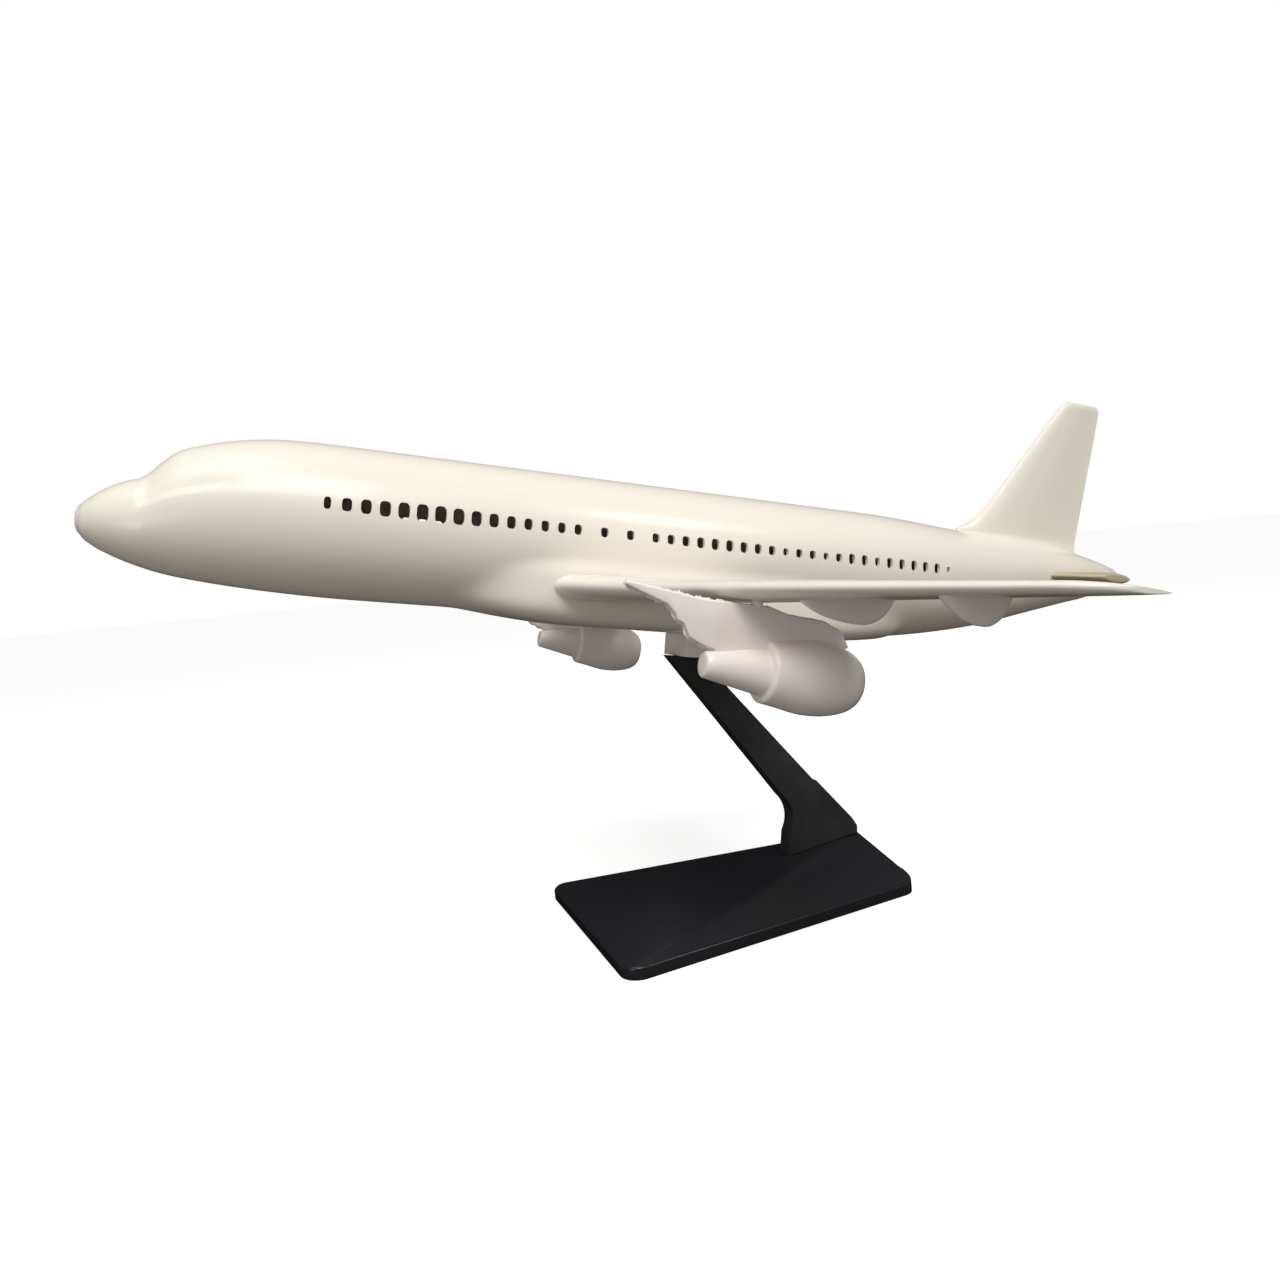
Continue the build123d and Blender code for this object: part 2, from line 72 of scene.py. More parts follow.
class Side(Enum):
    """Which side of the centre plane a piece belongs to; the value is the sign of y."""

    PORT = -1
    STARBOARD = 1

    @property
    def suffix(self) -> str:
        """The ending that the CAD nodes use for this side."""
        return "left" if self is Side.PORT else "right"


# ------------------------------------------------------------------ small shared helpers
def hermite(xs: Sequence[float], ys: Sequence[float], at: np.ndarray) -> np.ndarray:
    """Smooth curve through given stations, with no overshoot between them.

    Args:
        xs: Rising station positions.
        ys: Value at each station.
        at: Positions to read the curve at.

    Returns:
        The value at each position.
    """
    x, y = np.asarray(xs, float), np.asarray(ys, float)
    step, slope = np.diff(x), np.diff(y) / np.diff(x)
    tangent = np.zeros_like(y)
    both = slope[:-1] * slope[1:] > 0
    weight = (step[1:] * slope[:-1] + step[:-1] * slope[1:]) / (step[1:] + step[:-1])
    limit = 2.5 * np.minimum(np.abs(slope[:-1]), np.abs(slope[1:]))
    tangent[1:-1] = np.where(both, np.sign(weight) * np.minimum(np.abs(weight), limit), 0.0)
    tangent[0], tangent[-1] = slope[0], slope[-1]
    i = np.clip(np.searchsorted(x, at) - 1, 0, len(x) - 2)
    t = np.clip((at - x[i]) / step[i], 0, 1)
    h = step[i]
    return (
        (2 * t**3 - 3 * t**2 + 1) * y[i]
        + (t**3 - 2 * t**2 + t) * h * tangent[i]
        + (3 * t**2 - 2 * t**3) * y[i + 1]
        + (t**3 - t**2) * h * tangent[i + 1]
    )


def smooth_max(a: np.ndarray, b: np.ndarray, radius: float) -> np.ndarray:
    """The larger of two surfaces, blended over a moulded fillet."""
    h = np.clip(0.5 + 0.5 * (a - b) / radius, 0, 1)
    return b + (a - b) * h + radius * h * (1 - h)


def step_up(low: float, high: float, value: np.ndarray) -> np.ndarray:
    """Smooth ramp from 0 to 1 between two values."""
    t = np.clip((value - low) / (high - low), 0, 1)
    return t * t * (3 - 2 * t)


class MeshBuilder:
    """Gathers vertices and faces in millimetres and turns them into one finished object."""

    def __init__(self) -> None:
        """Start empty."""
        self.points: list[np.ndarray] = []
        self.faces: list[tuple[int, ...]] = []
        self.count = 0

    def add_points(self, points: np.ndarray) -> int:
        """Add points.

        Args:
            points: Any array of x, y, z.

        Returns:
            The index of the first one.
        """
        first = self.count
        flat = np.asarray(points, float).reshape(-1, 3)
        self.points.append(flat)
        self.count += len(flat)
        return first

    def grid(self, points: np.ndarray, wrap: bool = False, flip: bool = False) -> np.ndarray:
        """Add a grid of quads.

        Args:
            points: Array of rows by columns by 3.
            wrap: Join the last column to the first.
            flip: Turn the faces the other way.

        Returns:
            The vertex index of every grid point.
        """
        rows, columns = points.shape[:2]
        index = self.add_points(points) + np.arange(rows * columns).reshape(rows, columns)
        ring = np.concatenate([index, index[:, :1]], axis=1) if wrap else index
        a, b, c, d = ring[:-1, :-1], ring[1:, :-1], ring[1:, 1:], ring[:-1, 1:]
        quads = np.stack([a, b, c, d] if not flip else [d, c, b, a], -1).reshape(-1, 4)
        self.faces.extend(map(tuple, quads.tolist()))
        return index

    def strip(self, first: Sequence[int], second: Sequence[int]) -> None:
        """Join two equally long runs of existing vertices with quads."""
        for i in range(len(first) - 1):
            self.faces.append((first[i], first[i + 1], second[i + 1], second[i]))

    def cap(self, ring: Sequence[int]) -> None:
        """Close a ring of existing vertices with one face."""
        self.faces.append(tuple(int(i) for i in ring))

    def build(self, name: str, placed: "Callable[[np.ndarray], np.ndarray] | None" = None,
              sharp_deg: float = 35.0) -> bpy.types.Object:
        """Make the mesh object with outward faces, smooth but for its real edges.

        Args:
            name: The piece's name.
            placed: Turns local millimetres into the shared frame's millimetres.
            sharp_deg: Edges turning by more than this stay sharp.

        Returns:
            The new object, at the origin.
        """
        points = np.concatenate(self.points)
        if placed is not None:
            points = placed(points)
        mesh = bpy.data.meshes.new(name)
        mesh.from_pydata((points * MM).tolist(), [], self.faces)
        return finish_mesh(mesh, name, sharp_deg)


def finish_mesh(mesh: bpy.types.Mesh, name: str, sharp_deg: float = 35.0,
                merge: float = 1e-6) -> bpy.types.Object:
    """Merge doubles, face everything outward and link the mesh as an object at the origin.

    Args:
        mesh: The mesh to clean, in metres.
        name: The piece's name.
        sharp_deg: Edges turning by more than this stay sharp.
        merge: Points closer than this become one.

    Returns:
        The new object.
    """
    work = bmesh.new()
    work.from_mesh(mesh)
    bmesh.ops.remove_doubles(work, verts=work.verts, dist=merge)
    bmesh.ops.dissolve_degenerate(work, dist=1e-7, edges=work.edges)
    bmesh.ops.recalc_face_normals(work, faces=work.faces)
    work.to_mesh(mesh)
    work.free()
    mesh.shade_smooth()
    mesh.set_sharp_from_angle(angle=math.radians(sharp_deg))
    made = bpy.data.objects.new(name, mesh)
    bpy.context.scene.collection.objects.link(made)
    return made


def baked(source: bpy.types.Object, name: str, sharp_deg: float = 35.0) -> bpy.types.Object:
    """Turn an object with live modifiers into a plain mesh piece and remove the original.

    Args:
        source: The object with its modifiers.
        name: The new piece's name.
        sharp_deg: Edges turning by more than this stay sharp.

    Returns:
        The plain piece, at the origin.
    """
    bpy.context.view_layer.update()
    graph = bpy.context.evaluated_depsgraph_get()
    mesh = bpy.data.meshes.new_from_object(source.evaluated_get(graph))
    mesh.name = name
    bpy.data.objects.remove(source)
    mesh.shade_smooth()
    mesh.set_sharp_from_angle(angle=math.radians(sharp_deg))
    made = bpy.data.objects.new(name, mesh)
    bpy.context.scene.collection.objects.link(made)
    return made


def set_inputs(modifier: bpy.types.NodesModifier, values: dict[str, float]) -> None:
    """Set a node modifier's named inputs through their identifiers.

    Args:
        modifier: The modifier, with its tree already on it.
        values: The value of each input, by the input's name.
    """
    for item in modifier.node_group.interface.items_tree:
        if item.in_out == "INPUT" and item.name in values:
            modifier[item.identifier] = values[item.name]


def read_points(mesh: bpy.types.Mesh) -> np.ndarray:
    """A mesh's vertices in millimetres."""
    points = np.empty(len(mesh.vertices) * 3)
    mesh.vertices.foreach_get("co", points)
    return points.reshape(-1, 3) / MM


def joined(name: str, parts: Sequence[bpy.types.Object]) -> bpy.types.Object:
    """Join several mesh objects into one piece.

    Args:
        name: The joined piece's name.
        parts: The objects to join; the first one stays.

    Returns:
        The joined piece.
    """
    for other in bpy.context.selected_objects:
        other.select_set(False)
    for part in parts:
        part.select_set(True)
    bpy.context.view_layer.objects.active = parts[0]
    bpy.ops.object.join()
    parts[0].name = name
    parts[0].data.name = name
    return parts[0]


# ------------------------------------------------------------------ finishes
class Nodes:
    """Short calls for building a node material."""

    def __init__(self, name: str) -> None:
        """Make an empty node material with its output and main shader."""
        self.material = bpy.data.materials.new(name)
        self.material.use_nodes = True
        self.tree = self.material.node_tree
        self.tree.nodes.clear()
        self.output = self.tree.nodes.new("ShaderNodeOutputMaterial")
        self.shader = self.tree.nodes.new("ShaderNodeBsdfPrincipled")
        self.tree.links.new(self.shader.outputs[0], self.output.inputs[0])
        self.coords = self.tree.nodes.new("ShaderNodeTexCoord").outputs["Object"]

    def node(self, kind: str, **settings: object) -> bpy.types.Node:
        """Add a node.

        Args:
            kind: The node's type.
            settings: Its plain properties.

        Returns:
            The new node.
        """
        made = self.tree.nodes.new(kind)
        for key, value in settings.items():
            setattr(made, key, value)
        return made

    def link(self, source: bpy.types.NodeSocket, target: bpy.types.NodeSocket) -> None:
        """Join two sockets."""
        self.tree.links.new(source, target)

    def stretched(self, scale: tuple[float, float, float]) -> bpy.types.NodeSocket:
        """Object coordinates stretched along the axes, for flow marks.

        Args:
            scale: How much each axis is multiplied by.

        Returns:
            The stretched coordinates.
        """
        mapping = self.node("ShaderNodeMapping")
        mapping.inputs["Scale"].default_value = scale
        self.link(self.coords, mapping.inputs["Vector"])
        return mapping.outputs[0]

    def noise(self, scale: float, detail: float = 4.0, rough: float = 0.55,
              at: "bpy.types.NodeSocket | None" = None) -> bpy.types.NodeSocket:
        """A noise value.

        Args:
            scale: Features per metre.
            detail: Octaves of finer noise.
            rough: How strong the finer octaves are.
            at: Coordinates to read instead of the piece's own.

        Returns:
            The noise, about 0 to 1.
        """
        made = self.node("ShaderNodeTexNoise")
        made.inputs["Scale"].default_value = scale
        made.inputs["Detail"].default_value = detail
        made.inputs["Roughness"].default_value = rough
        self.link(at or self.coords, made.inputs["Vector"])
        return made.outputs["Fac"]

    def span(self, value: bpy.types.NodeSocket, low: float, high: float, out_low: float,
             out_high: float) -> bpy.types.NodeSocket:
        """Map a value from one range to another, clamped.

        Args:
            value: The value to map.
            low: Start of its range.
            high: End of its range.
            out_low: What the start becomes.
            out_high: What the end becomes.

        Returns:
            The mapped value.
        """
        made = self.node("ShaderNodeMapRange")
        made.clamp = True
        for key, number in zip(("From Min", "From Max", "To Min", "To Max"), (low, high, out_low, out_high)):
            made.inputs[key].default_value = number
        self.link(value, made.inputs["Value"])
        return made.outputs[0]

    def mix(self, factor: bpy.types.NodeSocket, a: object, b: object) -> bpy.types.NodeSocket:
        """Mix two colours.

        Args:
            factor: How much of the second colour shows.
            a: The first colour, a socket or a plain colour.
            b: The second colour, a socket or a plain colour.

        Returns:
            The mixed colour.
        """
        made = self.node("ShaderNodeMix", data_type="RGBA")
        self.link(factor, made.inputs["Factor"])
        for key, value in (("A", a), ("B", b)):
            socket = next(s for s in made.inputs if s.name == key and s.type == "RGBA")
            if isinstance(value, bpy.types.NodeSocket):
                self.link(value, socket)
            else:
                socket.default_value = (*value, 1.0)
        return next(s for s in made.outputs if s.type == "RGBA")

    def math(self, operation: str, a: object, b: object) -> bpy.types.NodeSocket:
        """Join two values by arithmetic.

        Args:
            operation: The math node's operation.
            a: The first value, a socket or a number.
            b: The second value, a socket or a number.

        Returns:
            The result.
        """
        made = self.node("ShaderNodeMath", operation=operation)
        for socket, value in zip(made.inputs, (a, b)):
            if isinstance(value, bpy.types.NodeSocket):
                self.link(value, socket)
            else:
                socket.default_value = value
        return made.outputs[0]

    def bump(self, height: bpy.types.NodeSocket, strength: float, distance: float,
             under: "bpy.types.NodeSocket | None" = None) -> bpy.types.NodeSocket:
        """A bump from a height.

        Args:
            height: The height value.
            strength: How strongly it shows.
            distance: How high a value of 1 stands, in metres.
            under: A bump that this one is stacked on.

        Returns:
            The bumped normal.
        """
        made = self.node("ShaderNodeBump")
        made.inputs["Strength"].default_value = strength
        made.inputs["Distance"].default_value = distance
        self.link(height, made.inputs["Height"])
        if under is not None:
            self.link(under, made.inputs["Normal"])
        return made.outputs[0]


@dataclass(frozen=True)
class MouldedCream:
    """Unpainted cream styrene: warm, a little see-through, with flow marks, rubbed edges and a glow painted
    on the hollow's inner wall.
    """

    name: str
    colour: tuple[float, float, float]
    cool: tuple[float, float, float]
    roughness: float = 0.19
    glow: float = 0.12
    glow_colour: tuple[float, float, float] = (1.0, 0.72, 0.5)
    dimple: float = 0.25
    lit_through: float = 0.42
    inner_light: tuple[float, float, float] = (0.5, 0.38, 0.17)
    slot: str = ""

    def make(self) -> bpy.types.Material:
        """Build the node material."""
        n = Nodes(self.name)
        broad = n.noise(28.0, 3.0)
        flow = n.noise(1.0, 5.0, 0.6, n.stretched((60.0, 260.0, 260.0)))
        fine = n.noise(2600.0, 3.0, 0.6)
        tint = n.mix(n.span(broad, 0.35, 0.68, 0.0, 1.0), self.colour, self.cool)
        tint = n.mix(n.span(flow, 0.45, 0.8, 0.0, 0.35), tint, tuple(0.93 * c for c in self.colour))
        worn = n.span(n.node("ShaderNodeNewGeometry").outputs["Pointiness"], 0.53, 0.6, 0.0, 0.5)
        tint = n.mix(worn, tint, tuple(min(1.0, 1.08 * c) for c in self.colour))
        specks = n.span(n.noise(900.0, 1.0, 0.4), 0.76, 0.8, 0.0, 0.25)
        tint = n.mix(specks, tint, tuple(0.55 * c for c in self.colour))
        n.link(tint, n.shader.inputs["Base Color"])
        rough = n.span(flow, 0.3, 0.75, self.roughness - 0.05, self.roughness + 0.08)
        rough = n.math("ADD", rough, n.span(n.noise(140.0, 4.0, 0.7), 0.45, 0.75, 0.0, 0.07))
        n.link(rough, n.shader.inputs["Roughness"])
        # Painted light: the hollow's inner wall glows by emission, standing in for light inside the body.
        inner = n.node("ShaderNodeAttribute", attribute_name="inner_wall").outputs["Fac"]
        n.link(n.math("MULTIPLY", inner, self.lit_through), n.shader.inputs["Emission Strength"])
        n.shader.inputs["Emission Color"].default_value = (*self.inner_light, 1.0)
        n.shader.inputs["Subsurface Weight"].default_value = self.glow
        n.shader.inputs["Subsurface Radius"].default_value = self.glow_colour
        n.shader.inputs["Subsurface Scale"].default_value = 0.0025
        n.shader.inputs["IOR"].default_value = 1.5
        sink = n.bump(broad, 0.3, 0.0006 * self.dimple)
        drag = n.bump(flow, 0.35, 0.00025 * self.dimple, sink)
        n.link(n.bump(fine, 0.15, 0.00004, drag), n.shader.inputs["Normal"])
        return n.material


@dataclass(frozen=True)
class MouldedBlack:
    """Black styrene, satin, with faint drag lines, dust and greyed edges."""

    name: str
    colour: tuple[float, float, float] = (0.0035, 0.0037, 0.0041)
    roughness: float = 0.2
    shine: float = 0.12
    dust: tuple[float, float, float] = (0.02, 0.019, 0.018)
    rubbed: tuple[float, float, float] = (0.035, 0.036, 0.036)
    slot: str = ""

    def make(self) -> bpy.types.Material:
        """Build the node material."""
        n = Nodes(self.name)
        cloud = n.noise(45.0, 5.0, 0.6)
        drag = n.noise(1.0, 4.0, 0.7, n.stretched((90.0, 1500.0, 400.0)))
        dust = n.span(n.noise(1500.0, 2.0, 0.5), 0.7, 0.8, 0.0, 0.25)
        tint = n.mix(n.span(cloud, 0.4, 0.7, 0.0, 1.0), self.colour, tuple(1.7 * c for c in self.colour))
        tint = n.mix(dust, tint, self.dust)
        worn = n.span(n.node("ShaderNodeNewGeometry").outputs["Pointiness"], 0.54, 0.62, 0.0, 0.6)
        n.link(n.mix(worn, tint, self.rubbed), n.shader.inputs["Base Color"])
        rough = n.span(cloud, 0.35, 0.7, self.roughness - 0.05, self.roughness + 0.1)
        n.link(n.math("ADD", rough, n.span(drag, 0.5, 0.8, 0.0, 0.1)), n.shader.inputs["Roughness"])
        n.shader.inputs["IOR"].default_value = 1.5
        n.shader.inputs["Specular IOR Level"].default_value = self.shine
        soft = n.bump(cloud, 0.3, 0.0002)
        grain = n.bump(n.noise(2200.0, 3.0, 0.6), 0.22, 0.00005, soft)
        n.link(n.bump(drag, 0.16, 0.00006, grain), n.shader.inputs["Normal"])
        return n.material


@dataclass(frozen=True)
class PaleFloor:
    """A seamless pale studio sweep."""

    name: str = "studio_floor"
    pale: tuple[float, float, float] = (0.60, 0.60, 0.60)
    paler: tuple[float, float, float] = (0.63, 0.63, 0.628)
    glow: float = 0.66

    def make(self) -> bpy.types.Material:
        """Build the node material."""
        n = Nodes(self.name)
        tint = n.mix(n.noise(6.0, 3.0), self.pale, self.paler)
        n.link(tint, n.shader.inputs["Base Color"])
        n.link(n.span(n.noise(220.0), 0.3, 0.7, 0.75, 0.9), n.shader.inputs["Roughness"])
        n.shader.inputs["Emission Color"].default_value = (1.0, 1.0, 1.0, 1.0)
        n.shader.inputs["Emission Strength"].default_value = self.glow
        n.shader.inputs["Specular IOR Level"].default_value = 0.0
        return n.material


class Finish(Enum):
    """Every finish in the scene; the frame's own materials stand in where they have the same name."""

    SHELL = MouldedCream("cream_shell", (0.80, 0.71, 0.57), (0.77, 0.68, 0.545))
    # Painted light: a lighter copy of the cream, for light on the wings' leading edges and undersides.
    WING = MouldedCream("cream_wing", (0.86, 0.77, 0.62), (0.82, 0.73, 0.58), roughness=0.28)
    # Painted shade: a darker, pinker copy of the cream, for the wing's shade over the engines.
    PODS = MouldedCream("pale_pods", (0.60, 0.485, 0.375), (0.55, 0.435, 0.335), roughness=0.26, glow=0.2,
                        glow_colour=(1.0, 0.6, 0.45), dimple=0.4)
    # Painted shade: a darker, olive copy of the cream, for the stabilisers seen in shade.
    TAIL = MouldedCream("cream_tail", (0.50, 0.455, 0.31), (0.46, 0.415, 0.28), roughness=0.3,
                        slot="cream_wing")
    BASE = MouldedBlack("black_stand")
    # Painted highlight: a lighter copy of the stand's black, for light on the arm's face.
    ARM = MouldedBlack("black_arm", (0.026, 0.026, 0.026), 0.42, slot="black_stand")
    FLOOR = PaleFloor()

    @property
    def material(self) -> bpy.types.Material:
        """The material with this finish's name, made here only where the frame brought none of that name."""
        return bpy.data.materials.get(self.value.name) or self.value.make()


def dress(piece: bpy.types.Object, finish: Finish, body: str, nodes: Sequence[str]) -> bpy.types.Object:
    """Give a finished piece its material, its body and the CAD nodes it stands for.

    Args:
        piece: The finished piece.
        finish: The finish it wears.
        body: The body it rides on.
        nodes: The CAD nodes it replaces.

    Returns:
        The same piece.
    """
    piece.data.materials.clear()
    piece.data.materials.append(finish.material)
    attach(piece, body)
    if nodes:
        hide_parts(*nodes)
    LOG.info("%s: %d faces on %s", piece.name, len(piece.data.polygons), body)
    return piece


# ------------------------------------------------------------------ airframe attitude
@dataclass(frozen=True)
class Attitude:
    """How the airframe sits on its stand: drawn level, then pitched nose-up."""

    pitch_deg: float = 10.2
    nose_x: float = -108.0
    nose_z: float = 90.7

    def place(self, points: np.ndarray) -> np.ndarray:
        """Pitch and shift points.

        Args:
            points: Airframe millimetres, x aft from the nose.

        Returns:
            The shared frame's millimetres.
        """
        c, s = math.cos(math.radians(self.pitch_deg)), math.sin(math.radians(self.pitch_deg))
        x, y, z = points[:, 0], points[:, 1], points[:, 2]
        return np.stack([self.nose_x + c * x + s * z, y, self.nose_z - s * x + c * z], 1)


ATTITUDE = Attitude()


# ------------------------------------------------------------------ fuselage
@dataclass
class Hull:
    """The moulded body form: nose, tube, tail and belly fairing as one skin."""

    radius: float = 13.4
    wall: float = 0.85
    cavity: tuple[float, float] = (4.0, 212.0)
    fairing_blend: float = 2.6
    fairing_passes: int = 5
    fairing_corner: float = 4.5
    fairing_search: tuple[float, float, int] = (4.0, 20.0, 401)
    flat_depth: float = 0.75
    flat_edge_deg: float = 72.0
    stations: list[Station] = field(default_factory=lambda: [
        (0.02, -3.5, -3.3, 0.1), (0.22, -4.7, -2.1, 1.35), (1.02, -6.2, -0.9, 3.0), (2.5, -7.5, 0.5, 4.6),
        (5.0, -8.8, 2.3, 6.3), (7.5, -9.8, 3.5, 7.5), (9.4, -10.4, 4.2, 8.3), (10.4, -10.7, 5.0, 8.7),
        (12.0, -11.1, 6.8, 9.2), (14.0, -11.5, 8.7, 9.8), (18.5, -12.1, 10.7, 10.9),
        (25.0, -12.7, 12.4, 12.0),
        (34.0, -13.2, 13.3, 13.0), (44.0, -13.4, 13.4, 13.4), (60.0, -13.4, 13.4, 13.4),
        (130.0, -13.4, 13.4, 13.4), (146.0, -13.4, 13.4, 13.4), (156.0, -12.7, 13.1, 13.1),
        (168.0, -11.0, 12.4, 12.2), (180.0, -8.6, 11.8, 10.7), (192.0, -5.3, 11.3, 8.8),
        (204.0, -2.0, 10.7, 6.6), (212.0, 0.2, 9.5, 4.9), (218.0, 2.7, 8.2, 3.2),
        (220.6, 3.9, 7.3, 1.9), (221.3, 4.9, 6.3, 0.7)])
    belly: list[Station] = field(default_factory=lambda: [
        (62.0, 7.4, 3.2, -9.0), (68.0, 11.2, 4.8, -9.0), (75.0, 13.3, 5.8, -9.0), (83.0, 13.8, 6.2, -9.0),
        (128.0, 13.8, 6.2, -9.0), (140.0, 12.7, 5.6, -9.0), (154.0, 8.0, 3.6, -9.0)])

    def middle(self, x: np.ndarray) -> tuple[np.ndarray, np.ndarray, np.ndarray]:
        """Centre height, half height and half width of the bare body at each x."""
        xs, low, high, half = (list(column) for column in zip(*self.stations))
        bottom, top, width = hermite(xs, low, x), hermite(xs, high, x), hermite(xs, half, x)
        return (top + bottom) / 2, (top - bottom) / 2, width

    def fairing_reach(self, x: np.ndarray, angle: np.ndarray, centre: np.ndarray) -> np.ndarray:
        """How far the belly fairing's rounded box reaches along each ray from the body's centre.

        Args:
            x: Stations from nose to tail.
            angle: Angles from the crown, 0, to the keel, pi.
            centre: The body's centre height at each station.

        Returns:
            The reach by station and angle, 0 where the ray misses the box.
        """
        xs, half_w, half_h, mid = (list(column) for column in zip(*self.belly))
        inside = (x >= xs[0]) & (x <= xs[-1])
        w, h, z = (hermite(xs, column, x)[:, None, None] for column in (half_w, half_h, mid))
        tries = np.linspace(*self.fairing_search)
        reach = tries[None, None, :]
        y = reach * np.sin(angle)[None, :, None]
        up = centre[:, None, None] + reach * np.cos(angle)[None, :, None] - z
        level = (np.abs(y) / w) ** self.fairing_corner + (np.abs(up) / h) ** self.fairing_corner
        hit = np.where(level <= 1.0, reach, 0.0).max(axis=2)
        nearest = np.abs(np.where(reach > hit[..., None] - 0.5, level, 9.0) - 1.0).argmin(axis=2)
        hit = np.where(hit > 0, tries[nearest], 0.0)
        return hit * inside[:, None]

    def skin(self, x: np.ndarray, angle: np.ndarray) -> np.ndarray:
        """Outer surface of the port half.

        Args:
            x: Stations from nose to tail.
            angle: Angles from the crown, 0, to the keel, pi.

        Returns:
            Points by station and angle.
        """
        centre, half_h, half_w = self.middle(x)
        s, c = np.sin(angle)[None, :], np.cos(angle)[None, :]
        reach = 1.0 / np.sqrt((s / half_w[:, None]) ** 2 + (c / half_h[:, None]) ** 2)
        box = self.fairing_reach(x, angle, centre)
        swell = np.where(box > 0, smooth_max(reach, box, self.fairing_blend), reach) - reach
        for _ in range(self.fairing_passes):
            for _ in range(2):
                edged = np.pad(swell, ((1, 1), (0, 0)), mode="reflect")
                swell = ((edged[:-2] + 2 * edged[1:-1] + edged[2:]) / 4).T
        reach = reach + swell
        reach = reach - self.cockpit_flat(x, angle)
        along = np.broadcast_to(x[:, None], reach.shape)
        return np.stack([along, -reach * s, centre[:, None] + reach * c], -1)

    def cockpit_flat(self, x: np.ndarray, angle: np.ndarray) -> np.ndarray:
        """The shallow flat pressed in each side of the cockpit, sharp below and fading aft.

        Args:
            x: Stations from nose to tail.
            angle: Angles from the crown, 0, to the keel, pi.

        Returns:
            How deep the flat is pressed, by station and angle.
        """
        degrees = np.degrees(angle)[None, :]
        along = step_up(9.0, 11.5, x)[:, None] * (1 - step_up(15.0, 27.0, x))[:, None]
        edge = self.flat_edge_deg - 0.4 * (x[:, None] - 12.0)
        below = 1 - step_up(0.0, 9.0, degrees - edge)
        above = step_up(12.0, 52.0, degrees)
        return self.flat_depth * along * below * above


